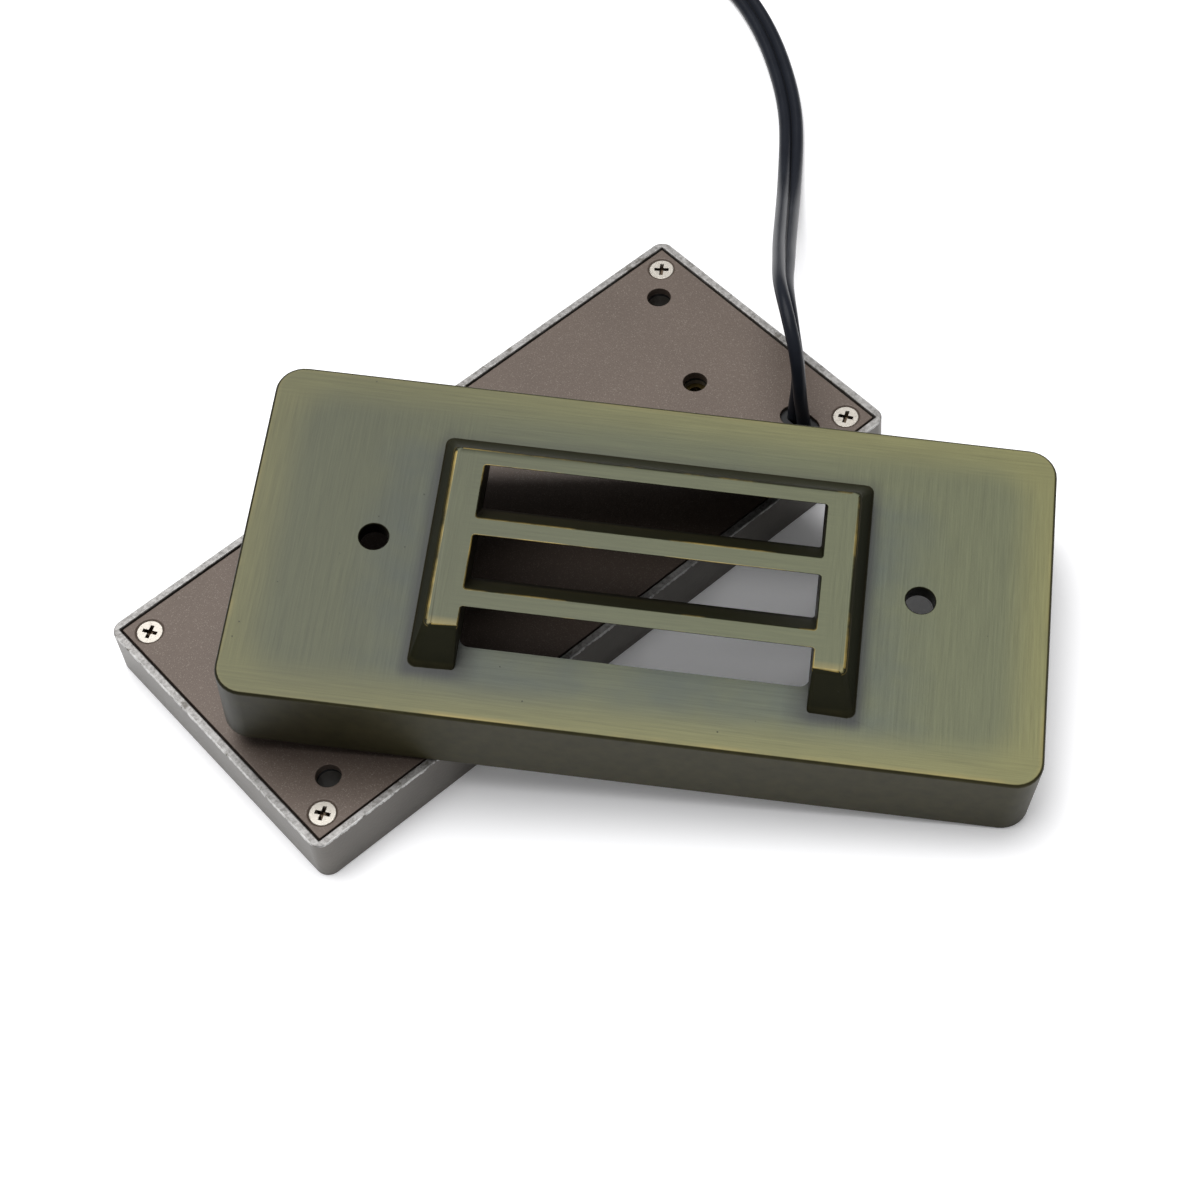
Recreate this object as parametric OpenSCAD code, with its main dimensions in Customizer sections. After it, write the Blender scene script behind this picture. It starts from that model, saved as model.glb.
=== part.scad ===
// Low-voltage step light, taken apart as it comes out of its box.
// The sealed light engine lies on its front with its back plate up, and the cast
// brass cover with its louvred hood leans on one long edge of it.
// Frame: millimetres, +Z up, floor at zero, origin at the centre of the engine's front.
// +X points to the end where the cable leaves, +Y away from the cover.

/* [Housing] */
// Length of the housing
housing_l = 159; // [150:0.5:175]
// Width of the housing
housing_w = 74.4; // [72:0.2:86]
// Height of the housing, front to back
housing_h = 12; // [11.6:0.1:15]
// Radius of the upright corners
housing_corner_r = 3; // [2:0.5:4]
// Width of the ground rim round the back plate
rim_w = 1.75; // [1.4:0.05:2.2]
// Width of the ledge that carries the gasket
ledge_w = 2; // [1.5:0.1:2.6]
// Thickness of the front wall
front_t = 2; // [1.6:0.1:2.4]
// Radius of the cavity's upright corners
cavity_r = 2; // [1:0.5:3]
// Diameter of the holes through the plate, the seals and the mounting columns
mount_hole_d = 5.4; // [4.5:0.1:5.6]
// Outer diameter of the mounting columns
mount_column_d = 9.2; // [8.4:0.1:10]
// Distance of a mounting hole from the housing's end
mount_inset_x = 12.5; // [12:0.5:16]
// Distance of a mounting hole from the housing's side
mount_inset_y = 12.7; // [12:0.1:14]

/* [Back plate] */
// Thickness of the back plate
plate_t = 2; // [1.6:0.1:2.2]
// Gap between the plate and the rim
plate_gap = 0.5; // [0.3:0.05:0.8]
// Depth of the plate's face below the rim
plate_recess = 0.2; // [0:0.05:0.3]
// Thickness of the gaskets under the plate
gasket_t = 0.6; // [0.4:0.1:0.8]
// Distance of a plate screw from the housing's end
plate_screw_inset_x = 6.3; // [6:0.1:7]
// Distance of a plate screw from the housing's side
plate_screw_inset_y = 6.6; // [6:0.1:7]
// Length of the cable slot
cable_slot_l = 10; // [9.6:0.1:11]
// Width of the cable slot
cable_slot_w = 5.6; // [5.4:0.1:6]
// Distance of the cable slot from the housing's end
cable_inset_x = 14.5; // [14:0.1:15]
// Distance of the cable slot from the housing's side
cable_inset_y = 12.7; // [12.4:0.1:13]

/* [Screws] */
// Diameter of the plate screws
plate_screw_d = 3; // [2.5:0.5:3.5]
// Diameter of a countersunk head
plate_head_d = 5.9; // [5.4:0.1:6.2]
// Length of a plate screw
plate_screw_l = 8; // [6:0.5:9]
// Depth of a countersunk head below the plate's face
screw_sink = 0.2; // [0.1:0.05:0.3]
// Diameter of the small screws inside
board_screw_d = 2; // [1.6:0.1:2.2]
// Diameter of a small screw's pan head
board_head_d = 3.8; // [3.4:0.1:4]
// Height of a small screw's pan head
board_head_h = 1.3; // [1:0.1:1.4]
// Distance of a cover screw from the housing's end
cover_screw_inset = 23.5; // [20:0.5:24]
// Outer diameter of the threaded brass inserts
insert_d = 5.4; // [5:0.1:5.8]
// Length of an insert
insert_l = 6; // [4:0.5:6]
// Bore of an insert
insert_bore_d = 3.3; // [2.8:0.1:3.6]
// Diameter of the clearance hole in front of an insert
insert_way_d = 4.6; // [4.2:0.1:4.8]
// Outer diameter of the bosses round the inserts
insert_boss_d = 8.6; // [8:0.1:9.4]

/* [Light window] */
// Width of the bays beside the window's frame
bay_w = 17.45; // [17:0.05:19]
// Distance between the ends of the window and of the light board
window_margin = 13; // [12:0.5:16]
// Width of the land that the glass lies on
lens_land = 2.5; // [2:0.1:2.6]
// Thickness of the glass
lens_t = 3; // [2.4:0.1:3]
// Radius of the glass's corners
lens_corner_r = 2; // [1:0.5:3]
// Thickness of the silicone joint round and under the glass
lens_joint = 0.5; // [0.3:0.1:0.5]
// Wall of the frame round the glass
frame_wall = 2.5; // [2:0.1:2.6]
// Thickness of the land
land_t = 1.1; // [0.8:0.1:1.2]

/* [Light board] */
// Gap between the light board's end and a boss of an insert
led_end_gap = 2.7; // [2:0.1:4]
// Overhang of the light board over the side of the window's frame
led_overhang = 1; // [0.8:0.1:1.4]
// Thickness of the light board
led_board_t = 1; // [0.8:0.1:1.2]
// Gap between the lamps and the window's frame
led_air = 0.85; // [0.6:0.05:1]
// Columns of lamps
led_columns = 6; // [3:1:8]
// Rows of lamps
led_rows = 2; // [1:1:2]
// Length of a lamp
led_l = 3.5; // [3:0.1:4]
// Width of a lamp
led_w = 2.8; // [2.4:0.1:3]
// Height of a lamp
led_h = 0.75; // [0.6:0.05:0.9]

/* [Driver] */
// Length of the driver board
driver_l = 54; // [50:1:55]
// Gap between the driver board and the window's frame
driver_frame_gap = 3.05; // [2.9:0.05:3.4]
// Thickness of the driver board
driver_t = 1.2; // [1:0.1:1.4]
// Height of the driver board above the front wall
driver_lift = 2; // [1.6:0.1:2.2]
// Side of the inductor
inductor_side = 7.3; // [6:0.1:8]
// Height of the inductor
inductor_h = 3.4; // [2.5:0.1:3.6]

/* [Cover] */
// Height of the cover's skirt
cover_h = 20; // [18:0.5:24]
// Thickness of the skirt
cover_wall = 1.5; // [1.2:0.1:2]
// Thickness of the cover's face
cover_face_t = 2.2; // [1.8:0.1:3]
// Radius of the cover's upright corners
cover_corner_r = 6; // [4:0.5:8]
// Rounding of the edge round the face
cover_edge_r = 0.7; // [0.4:0.1:1.2]
// Gap between housing and skirt at the ends
cover_end_gap = 1.5; // [0.5:0.1:3]
// Gap between housing and skirt at the sides
cover_side_gap = 0.3; // [0.3:0.1:2]
// Diameter of the cover's screw holes
cover_hole_d = 6; // [5:0.1:6.4]
// Outer diameter of the bosses behind the screw holes
cover_boss_d = 10; // [9:0.1:11]
// Height of those bosses behind the face
cover_boss_h = 1.2; // [0.8:0.1:2]

/* [Louvred hood] */
// Height of the hood above the face
hood_h = 8; // [6:0.5:10]
// Length of the hood's top
hood_l = 83.8; // [80:0.2:90]
// Draft of the hood's ends, foot beyond top
hood_end_draft = 2.7; // [1:0.1:3]
// Run of the slanted upper wall and blades, foot beyond top
hood_run = 6.5; // [4:0.1:7]
// Run of the leg fronts, foot beyond top
leg_run = 5.4; // [3:0.1:7]
// Width of a side rail on top
side_rail_w = 6.8; // [6:0.1:8]
// Width of the upper rail on top
upper_rail_w = 3.9; // [3:0.1:5]
// Width of a blade on top
blade_w = 4.1; // [3:0.1:5]
// Width of a slot on top
slot_w = 12.45; // [10:0.05:13]
// Length of the legs past the lower blade
leg_l = 4.9; // [3:0.1:6]
// Number of blades
blades = 2; // [1:1:2]
// Distance of the hood's upper edge from the face's centre line
hood_upper_y = 19; // [17:0.2:21]
// Distance of the opening's lower edge from the foot of the legs
opening_step = 5.6; // [4:0.1:8]
// Radius of the slot corners
slot_r = 0.5; // [0.5:0.1:1.5]
// Radius of the opening's lower corners
opening_r = 2; // [1:0.1:3]
// Radius of the hood's upright edges
hood_corner_r = 1.5; // [1:0.1:2.5]
// Rounding of the hood's upper edges
hood_edge_r = 0.5; // [0.3:0.1:0.8]
// Wall left round the cored pockets under the side rails
core_wall = 2; // [1.5:0.1:2.4]

/* [Cover at rest] */
// Turn of the cover in the plane of its rim
cover_yaw = -48.2; // [-60:0.1:-35]
// Shift of the cover along the housing's edge
cover_shift_x = 5.5; // [-5:0.5:15]
// Distance of the rim's centre outside the housing's edge
cover_overhang = 2.2; // [0:0.1:8]
// Air between the rim and the housing's edge
lean_gap = 0.3; // [0.2:0.05:0.5]

/* [Cable] */
// Width of the flat twin cable
cord_w = 6; // [5.2:0.1:6]
// Thickness of the cable
cord_t = 3; // [2.6:0.1:3]
// Depth of the grommet below the plate's face
grommet_recess = 1; // [0.5:0.1:1.5]
// Thickness of the grommet's inner flange
grommet_flange_t = 1.2; // [0.8:0.1:1.4]
// Width of the grommet's flange round the slot
grommet_flange_w = 1.7; // [1:0.1:1.8]
// Diameter of a bundle of bare strands
strand_d = 1.1; // [0.8:0.1:1.2]
// Length of the bared end of the cable
bare_l = 10; // [6:1:16]

/* [Hidden] */
$fn = 48;

// Overrun of every cut, thickness of the slices that a hull spans, play round a screw
// in its thread, and play round a screw in a plain hole
cut = 1;
skin = 0.01;
fit = 0.05;
play = 0.2;

// Housing: pocket for the plate, cavity, and the heights of what is stacked inside
pocket_l = housing_l - 2 * rim_w;
pocket_w = housing_w - 2 * rim_w;
plate_l = pocket_l - 2 * plate_gap;
plate_w = pocket_w - 2 * plate_gap;
cavity_l = pocket_l - 2 * ledge_w;
cavity_w = pocket_w - 2 * ledge_w;
plate_top = housing_h - plate_recess;
plate_z = plate_top - plate_t;
ledge_z = plate_z - gasket_t;
mount_at = [housing_l / 2 - mount_inset_x, housing_w / 2 - mount_inset_y];
mount_holes = [mount_at, -mount_at];
insert_at = [housing_l / 2 - cover_screw_inset, 0];
insert_places = [insert_at, -insert_at];
plate_screw_at = [housing_l / 2 - plate_screw_inset_x, housing_w / 2 - plate_screw_inset_y];
cable_slot_at = [housing_l / 2 - cable_inset_x, cable_inset_y - housing_w / 2];
cord_shift = [0.5, 0.8];
cord_at = cable_slot_at + cord_shift;
screw_boss_d = 6.4;
screw_seat_d = 4.8;
screw_floor = 1;

// Window, glass pocket and the frame round it, between the bays and the insert bosses
led_board_l = 2 * (insert_at.x - insert_boss_d / 2 - led_end_gap);
frame_w = cavity_w - 2 * bay_w;
glass_pocket_w = frame_w - 2 * frame_wall;
window_w = glass_pocket_w - 2 * lens_land;
window_l = led_board_l - 2 * window_margin;
glass_pocket_l = window_l + 2 * lens_land;
glass_pocket_h = lens_t + lens_joint;
frame_l = glass_pocket_l + 2 * frame_wall;
frame_h = glass_pocket_h + land_t;
frame_corner_r = lens_corner_r + frame_wall;

// Light board on its four bosses, and its lamps spread evenly behind the window
led_board_w = frame_w + 2 * led_overhang;
led_pitch_x = led_l + (window_l - led_columns * led_l) / (led_columns + 1);
led_pitch_y = led_w + (window_w - led_rows * led_w) / (led_rows + 1);
led_face_z = frame_h + led_air + led_h;
led_back_z = led_face_z + led_board_t;
board_boss_d = 4.6;
board_corner_r = 1;
board_screw_l = 4;
led_board_margin = 3.5;
led_screw_at = [led_board_l / 2 - led_board_margin, led_board_w / 2 - led_board_margin];

// Driver board in the bay beside the window, and what is soldered on it
driver_bay_gap = 0.4;
driver_back = 20.5;
driver_w = bay_w - driver_bay_gap - driver_frame_gap;
driver_at = [cord_at.x - driver_back - driver_l / 2, driver_bay_gap + driver_w / 2 - cavity_w / 2];
driver_top = front_t + driver_lift + driver_t;
driver_margin = 2.6;
driver_screw_at = [driver_l / 2 - driver_margin, driver_margin - driver_w / 2];
driver_screw_l = 2.8;
ic_size = [4.9, 3.9, 1.5];
rectifier_size = [4.7, 3.9, 2.5];
capacitor_size = [7.3, 4.3, 2.9];
capacitor_r = 0.3;
pin_w = 0.6;
pin_l = 0.8;
pin_t = 0.25;
led_wire_d = 0.9;
led_wire_xs = [8 - driver_l / 2, 12 - driver_l / 2];
led_wire_pad = 0.6;

// Parts on the driver board in a row, with even gaps between its bare ends
row = [capacitor_size.x, inductor_side, ic_size.x, capacitor_size.x, rectifier_size.x];
row_ends = [1.85, 10.65];
row_gap = (driver_l - row_ends[0] - row_ends[1] - total(row)) / (len(row) - 1);
function row_x(i) = row_ends[0] - driver_l / 2 + (i > 0 ? total([for (k = [0:i - 1]) row[k] + row_gap]) : 0)
    + row[i] / 2;

// Cable inside the housing, beside the middle of its slot
leg_d = cord_t - 2 * fit;
leg_pitch = cord_w - cord_t;
leg_bend_r = 3.6;
leg_z = driver_top + strand_d / 2;
leg_end_x = driver_at.x + driver_l / 2 + 1.5 * strand_d;
grommet_top = plate_top - grommet_recess;
clamp_back = 11.5;
clamp_x = cord_at.x - clamp_back;
clamp_t = 0.9;
clamp_w = 5;
clamp_reach = 5.6;
clamp_z = leg_z + leg_d / 2;
clamp_screw_l = 5;

// Cover: size over the housing, and places of the hood's edges on the face
cover_l = housing_l + 2 * (cover_end_gap + cover_wall);
cover_w = housing_w + 2 * (cover_side_gap + cover_wall);
slot_l = hood_l - 2 * side_rail_w;
slot_upper_y = hood_upper_y - upper_rail_w;
slot_pitch = slot_w + blade_w;
last_slot_y = slot_upper_y - blades * slot_pitch;
hood_lower_y = last_slot_y - leg_l;
foot_l = hood_l + 2 * hood_end_draft;
foot_upper_y = hood_upper_y + hood_run;
foot_lower_y = hood_lower_y - leg_run;
opening_lower_y = foot_lower_y + opening_step;

// Cover at rest: the rim's plane clears the housing's long edge by lean_gap, and the
// rim's lowest corner stands on the floor
rim_reach = (cover_l / 2 - cover_corner_r) * abs(sin(cover_yaw))
    + (cover_w / 2 - cover_corner_r) * abs(cos(cover_yaw)) + cover_corner_r;
cover_tilt = asin((housing_h + lean_gap) / (rim_reach + cover_overhang));
cover_centre = [cover_shift_x,
    -housing_w / 2 - cover_overhang * cos(cover_tilt),
    housing_h + lean_gap - cover_overhang * sin(cover_tilt)];

// Route of the free cable from its place in the slot: across, along, height above the
// floor, and turn of the flat side. Up out of the slot, over the rim, along the floor.
cord_floor = cord_t / 2;
cord_heading = 55;
cord_route = [
    [0, 0, grommet_top, 125], [0, 0, 14, 122], [0.2, 0.1, 18, 110], [0.6, 0.4, 22, 95],
    [1.3, 1.3, 26, 90], [2.4, 3.2, 29.8, 85], [4, 6, 32.6, 70], [6.2, 9.4, 34.2, 50],
    [8.8, 13.2, 34.2, 32], [11.9, 17.2, 32.6, 16], [15.5, 21.2, 30, 6], [19.5, 25.3, 27, 0],
    [24, 30, 23.6, 0], [28.5, 34.7, 20, 0], [33.5, 39.7, 16.4, 0], [38.5, 44.7, 12.8, 0],
    [43.5, 49.7, 9.2, 0], [48.5, 54.7, 6, 0], [53.5, 59.7, 3.4, 0], [58.5, 64.7, 1.8, 0],
    [64, 70.2, cord_floor, 0], [69.5, 76.2, cord_floor, 0], [74.5, 82.8, cord_floor, 0],
    [79, 89.8, cord_floor, 0], [83.2, 97.2, cord_floor, 0], [86.7, 104.5, cord_floor, 0],
    [89.8, 112.5, cord_floor, 0], [92, 120.7, cord_floor, 0], [92.9, 129.2, cord_floor, 0],
    [92.7, 137.7, cord_floor, 0]];

// Coil of the rest of the cable: inward on the floor, then outward on top of that
coil_mean_r = 34;
coil_pitch = 6.5;
coil_layer = 3.5;
coil_climb = 180;
loop_rings = 24;
lower_rings = 69;
upper_rings = 54;

// Flat outline with round corners, centred
module rounded(l, w, r) {
    square([l - 2 * r, w], center = true);
    square([l, w - 2 * r], center = true);
    for (x = [-1, 1], y = [-1, 1]) translate([x * (l / 2 - r), y * (w / 2 - r)]) circle(r);
}

// Flat outline of a slot with round ends, its length along Y
module oblong(l, w) {
    square([w, l - w], center = true);
    for (y = [-1, 1]) translate([0, y * (l - w) / 2]) circle(w / 2);
}

module slab(l, w, r, z0, z1) {
    translate([0, 0, z0]) linear_extrude(z1 - z0) rounded(l, w, r);
}

module rod(d, z0, z1) {
    translate([0, 0, z0]) cylinder(d = d, h = z1 - z0);
}

module at_corners(at) {
    for (x = [-1, 1], y = [-1, 1]) translate([x * at.x, y * at.y, 0]) children();
}

module at_places(places) {
    for (p = places) translate(p) children();
}

// Places of the small screws
module at_driver_screws() {
    translate(driver_at) at_places([driver_screw_at, -driver_screw_at]) children();
}

module at_clamp_screws() {
    translate([clamp_x, cord_at.y, 0]) at_places([[0, clamp_reach], [0, -clamp_reach]]) children();
}

// Die-cast housing: an open tray with bosses, columns and the frame round the glass
module housing() {
    color("dimgray") difference() {
        union() {
            difference() {
                slab(housing_l, housing_w, housing_corner_r, 0, housing_h);
                translate([0, 0, ledge_z]) linear_extrude(housing_h) square([pocket_l, pocket_w], center = true);
                slab(cavity_l, cavity_w, cavity_r, front_t, housing_h);
            }
            slab(frame_l, frame_w, frame_corner_r, 0, frame_h);
            at_corners(plate_screw_at) {
                rod(screw_boss_d, 0, ledge_z);
                rod(screw_seat_d, 0, plate_z);
            }
            at_places(mount_holes) rod(mount_column_d, 0, ledge_z);
            at_places(insert_places) rod(insert_boss_d, 0, ledge_z);
            at_corners(led_screw_at) rod(board_boss_d, 0, led_face_z);
            at_driver_screws() rod(board_boss_d, 0, front_t + driver_lift);
            at_clamp_screws() rod(board_boss_d, 0, clamp_z);
            translate([clamp_x - clamp_w / 2, cord_at.y - clamp_reach, 0])
                cube([clamp_w, 2 * clamp_reach, leg_z - leg_d / 2]);
        }
        slab(window_l, window_w, lens_corner_r, -cut, housing_h);
        slab(glass_pocket_l, glass_pocket_w, lens_corner_r + lens_joint, -cut, glass_pocket_h);
        at_corners(plate_screw_at) rod(plate_screw_d + 2 * fit, screw_floor, housing_h);
        at_places(mount_holes) rod(mount_hole_d, -cut, housing_h);
        at_places(insert_places) {
            rod(insert_way_d, -cut, housing_h);
            rod(insert_d, front_t, housing_h);
        }
        at_corners(led_screw_at) rod(board_screw_d + 2 * fit, screw_floor, housing_h);
        at_driver_screws() rod(board_screw_d + 2 * fit, screw_floor, housing_h);
        at_clamp_screws() rod(board_screw_d + 2 * fit, screw_floor, housing_h);
    }
}

// Plate that closes the back, with countersunk holes in its corners
module back_plate() {
    sink_d = plate_head_d + 2 * (screw_sink + fit);
    hole_d = plate_screw_d + 2 * play;
    sink_h = (sink_d - hole_d) / 2;
    color("gray") difference() {
        translate([0, 0, plate_z]) linear_extrude(plate_t) square([plate_l, plate_w], center = true);
        at_corners(plate_screw_at) {
            rod(hole_d, 0, housing_h);
            translate([0, 0, plate_top - sink_h]) cylinder(d1 = hole_d, d2 = sink_d, h = sink_h);
        }
        at_places(concat(mount_holes, insert_places)) rod(mount_hole_d, 0, housing_h);
        translate(cable_slot_at) linear_extrude(housing_h) oblong(cable_slot_l, cable_slot_w);
    }
}

// Silicone ring on the ledge
module back_gasket() {
    color("black") translate([0, 0, ledge_z]) linear_extrude(gasket_t) difference() {
        square([plate_l, plate_w], center = true);
        rounded(cavity_l, cavity_w, cavity_r);
    }
}

// Silicone washers on the columns and on the insert bosses
module column_seals() {
    color("black") at_places(concat(mount_holes, insert_places)) difference() {
        rod(insert_boss_d, ledge_z, plate_z);
        rod(mount_hole_d, 0, housing_h);
    }
}

// Cross recess cut down from z
module cross_recess(head_d, depth, z) {
    arm_w = head_d / 7;
    arm_l = head_d / 2;
    for (a = [0, 90]) rotate(a) translate([-arm_l / 2, -arm_w / 2, z - depth]) cube([arm_l, arm_w, depth + cut]);
}

// Countersunk screws that hold the back plate
module back_screws() {
    head_h = (plate_head_d - plate_screw_d) / 2;
    head_z = plate_top - screw_sink;
    color("silver") at_corners(plate_screw_at) difference() {
        union() {
            rod(plate_screw_d, head_z - plate_screw_l, head_z - head_h);
            translate([0, 0, head_z - head_h]) cylinder(d1 = plate_screw_d, d2 = plate_head_d, h = head_h);
        }
        cross_recess(plate_head_d, head_h, head_z);
    }
}

// Pan-head screw seated at z
module pan_screw(l, z) {
    difference() {
        union() {
            rod(board_screw_d, z - l, z);
            rod(board_head_d, z, z + board_head_h);
        }
        cross_recess(board_head_d, board_head_h / 2, z + board_head_h);
    }
}

// Threaded brass inserts that take the cover's screws
module cover_screw_inserts() {
    color("goldenrod") at_places(insert_places) difference() {
        rod(insert_d, front_t, front_t + insert_l);
        rod(insert_bore_d, -cut, front_t + insert_l + cut);
    }
}

// Toughened glass, flush with the housing's front
module lens() {
    color("lightcyan")
        slab(glass_pocket_l - 2 * lens_joint, glass_pocket_w - 2 * lens_joint, lens_corner_r, 0, lens_t);
}

// Silicone joint round and under the glass
module lens_seal() {
    color("black") difference() {
        slab(glass_pocket_l, glass_pocket_w, lens_corner_r + lens_joint, 0, glass_pocket_h);
        slab(glass_pocket_l - 2 * lens_joint, glass_pocket_w - 2 * lens_joint, lens_corner_r, -cut, lens_t);
        slab(window_l, window_w, lens_corner_r, -cut, housing_h);
    }
}

// Aluminium circuit board that carries the lamps, face down
module led_board() {
    color("white") difference() {
        slab(led_board_l, led_board_w, board_corner_r, led_face_z, led_back_z);
        at_corners(led_screw_at) rod(board_screw_d + 2 * play, 0, housing_h);
    }
}

// Lamps under the board, each with its round light well
module leds() {
    well_d = led_w - 2 * play;
    well_h = led_h / 3;
    origin = [(led_columns - 1) * led_pitch_x, (led_rows - 1) * led_pitch_y] / -2;
    color("khaki") for (i = [0:led_columns - 1], j = [0:led_rows - 1])
        translate(origin + [i * led_pitch_x, j * led_pitch_y]) difference() {
            translate([-led_l / 2, -led_w / 2, led_face_z - led_h]) cube([led_l, led_w, led_h]);
            rod(well_d, led_face_z - led_h - cut, led_face_z - led_h + well_h);
        }
}

module led_board_screws() {
    color("silver") at_corners(led_screw_at) pan_screw(board_screw_l, led_back_z);
}

// Wire from the driver board over the edge of the light board
module led_wire(x) {
    led_pad_y = led_wire_pad - led_board_w / 2;
    driver_pad_y = driver_at.y + driver_w / 2 - led_wire_pad;
    r = (led_pad_y - driver_pad_y) / 2;
    translate([driver_at.x + x, driver_pad_y, 0]) rod(led_wire_d, driver_top, led_back_z);
    translate([driver_at.x + x, driver_pad_y + r, led_back_z]) rotate([90, 0, 90])
        rotate_extrude(angle = 180) translate([r, 0]) circle(d = led_wire_d);
}

module led_wire_red() {
    color("firebrick") led_wire(led_wire_xs[0]);
}

module led_wire_black() {
    color("black") led_wire(led_wire_xs[1]);
}

// Narrow driver board on two bosses beside the window's frame
module driver_board() {
    color("seagreen") difference() {
        translate(driver_at) slab(driver_l, driver_w, board_corner_r, front_t + driver_lift, driver_top);
        at_driver_screws() rod(board_screw_d + 2 * play, 0, housing_h);
    }
}

module driver_board_screws() {
    color("silver") at_driver_screws() pan_screw(driver_screw_l, driver_top);
}

// Moulded package with a row of pins on two sides, soldered on the driver board
module package(x, size, pins) {
    pitch = size.x / pins;
    translate([driver_at.x + x, driver_at.y, driver_top]) {
        translate([-size.x / 2, -size.y / 2, pin_t]) cube([size.x, size.y, size.z - pin_t]);
        for (i = [0:pins - 1]) translate([(i - (pins - 1) / 2) * pitch - pin_w / 2, -size.y / 2 - pin_l, 0])
            cube([pin_w, size.y + 2 * pin_l, 2 * pin_t]);
    }
}

module rectifier() {
    color("black") package(row_x(4), rectifier_size, 2);
}

module driver_ic() {
    color("black") package(row_x(2), ic_size, 4);
}

// Shielded inductor: a square base with a round core on top
module inductor() {
    base_h = inductor_h / 4;
    color("dimgray") translate([driver_at.x + row_x(1), driver_at.y, 0]) {
        slab(inductor_side, inductor_side, board_corner_r, driver_top, driver_top + base_h);
        rod(inductor_side - 2 * play, driver_top, driver_top + inductor_h);
    }
}

// Two moulded capacitors
module capacitors() {
    color("darkorange") for (i = [0, 3]) translate([driver_at.x + row_x(i), driver_at.y, 0])
        slab(capacitor_size.x, capacitor_size.y, capacitor_r, driver_top, driver_top + capacitor_size.z);
}

// Soft grommet round the cable, its flange under the plate
module cable_grommet() {
    color("black") difference() {
        translate(cable_slot_at) {
            translate([0, 0, plate_z - grommet_flange_t]) linear_extrude(grommet_flange_t)
                oblong(cable_slot_l + 2 * grommet_flange_w, cable_slot_w + 2 * grommet_flange_w);
            translate([0, 0, plate_z]) linear_extrude(grommet_top - plate_z) oblong(cable_slot_l, cable_slot_w);
        }
        translate(cord_at) linear_extrude(housing_h) oblong(cord_w + 2 * fit, cord_t + 2 * fit);
    }
}

// The two halves of the cable, split in the grommet and bent down to the driver board
module cable_legs() {
    bend_x = cord_at.x - leg_bend_r;
    bend_z = leg_z + leg_bend_r;
    color("black") for (s = [-1, 1]) translate([0, cord_at.y + s * leg_pitch / 2, 0]) {
        translate([cord_at.x, 0, 0]) rod(leg_d, bend_z, grommet_top);
        translate([bend_x, 0, bend_z]) rotate([-90, 0, 0])
            rotate_extrude(angle = 90) translate([leg_bend_r, 0]) circle(d = leg_d);
        translate([leg_end_x, 0, leg_z]) rotate([0, 90, 0]) cylinder(d = leg_d, h = bend_x - leg_end_x);
    }
}

// Bare strands of both halves, soldered on the driver board
module cable_strands() {
    reach = leg_end_x - driver_at.x - driver_l / 2 + 2 * strand_d;
    color("lightgray") for (s = [-1, 1])
        translate([leg_end_x - reach, cord_at.y + s * leg_pitch / 2, leg_z])
            rotate([0, 90, 0]) cylinder(d = strand_d, h = reach);
}

// Bar that clamps both halves of the cable on their saddle
module cable_clamp() {
    bar_l = 2 * clamp_reach + clamp_w;
    color("ivory") difference() {
        translate([clamp_x - clamp_w / 2, cord_at.y - bar_l / 2, clamp_z]) cube([clamp_w, bar_l, clamp_t]);
        at_clamp_screws() rod(board_screw_d + 2 * play, 0, housing_h);
    }
}

module cable_clamp_screws() {
    color("silver") at_clamp_screws() pan_screw(clamp_screw_l, clamp_z + clamp_t);
}

function unit(v) = v / norm(v);
function total(v, i = 0) = i == len(v) ? 0 : v[i] + total(v, i + 1);
function mean(points) = [for (k = [0:2]) total([for (p = points) p[k]]) / len(points)];

// Direction of a path at point i
function along(path, i) = unit(path[min(i + 1, len(path) - 1)] - path[max(i - 1, 0)]);

// Level direction across a path; where it is steep, the heading of the cable's arch counts
function across(t) = let (level = norm([t.x, t.y]))
    level > sin(30) ? [t.y, -t.x, 0] / level : [sin(cord_heading), -cos(cord_heading), 0];

// One ring: an outline in the plane square to the path at point i, turned about the path
function ring(path, i, turn, outline) =
    let (t = along(path, i), side = across(t), a = unit(side - (side * t) * t), b = cross(t, a),
        u = cos(turn) * a + sin(turn) * b, v = cross(t, u))
    [for (q = outline) path[i] + q.x * u + q.y * v];

// Skin of triangles over a row of rings, closed by a fan at both ends
module tube(rings) {
    n = len(rings[0]);
    last = len(rings) - 1;
    points = concat([for (r = rings) for (p = r) p], [mean(rings[0]), mean(rings[last])]);
    centre = (last + 1) * n;
    polyhedron(points, concat(
        [for (i = [0:last - 1], j = [0:n - 1]) [i * n + j, (i + 1) * n + j, i * n + (j + 1) % n]],
        [for (i = [0:last - 1], j = [0:n - 1])
            [(i + 1) * n + j, (i + 1) * n + (j + 1) % n, i * n + (j + 1) % n]],
        [for (j = [0:n - 1]) [centre, j, (j + 1) % n]],
        [for (j = [0:n - 1]) [centre + 1, last * n + (j + 1) % n, last * n + j]]));
}

// Route of the free stretch, and its last heading
cord_path = [for (p = cord_route) [cord_at.x + p.x, cord_at.y + p.y, p.z]];
cord_last = len(cord_path) - 1;
cord_out = along(cord_path, cord_last);

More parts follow.
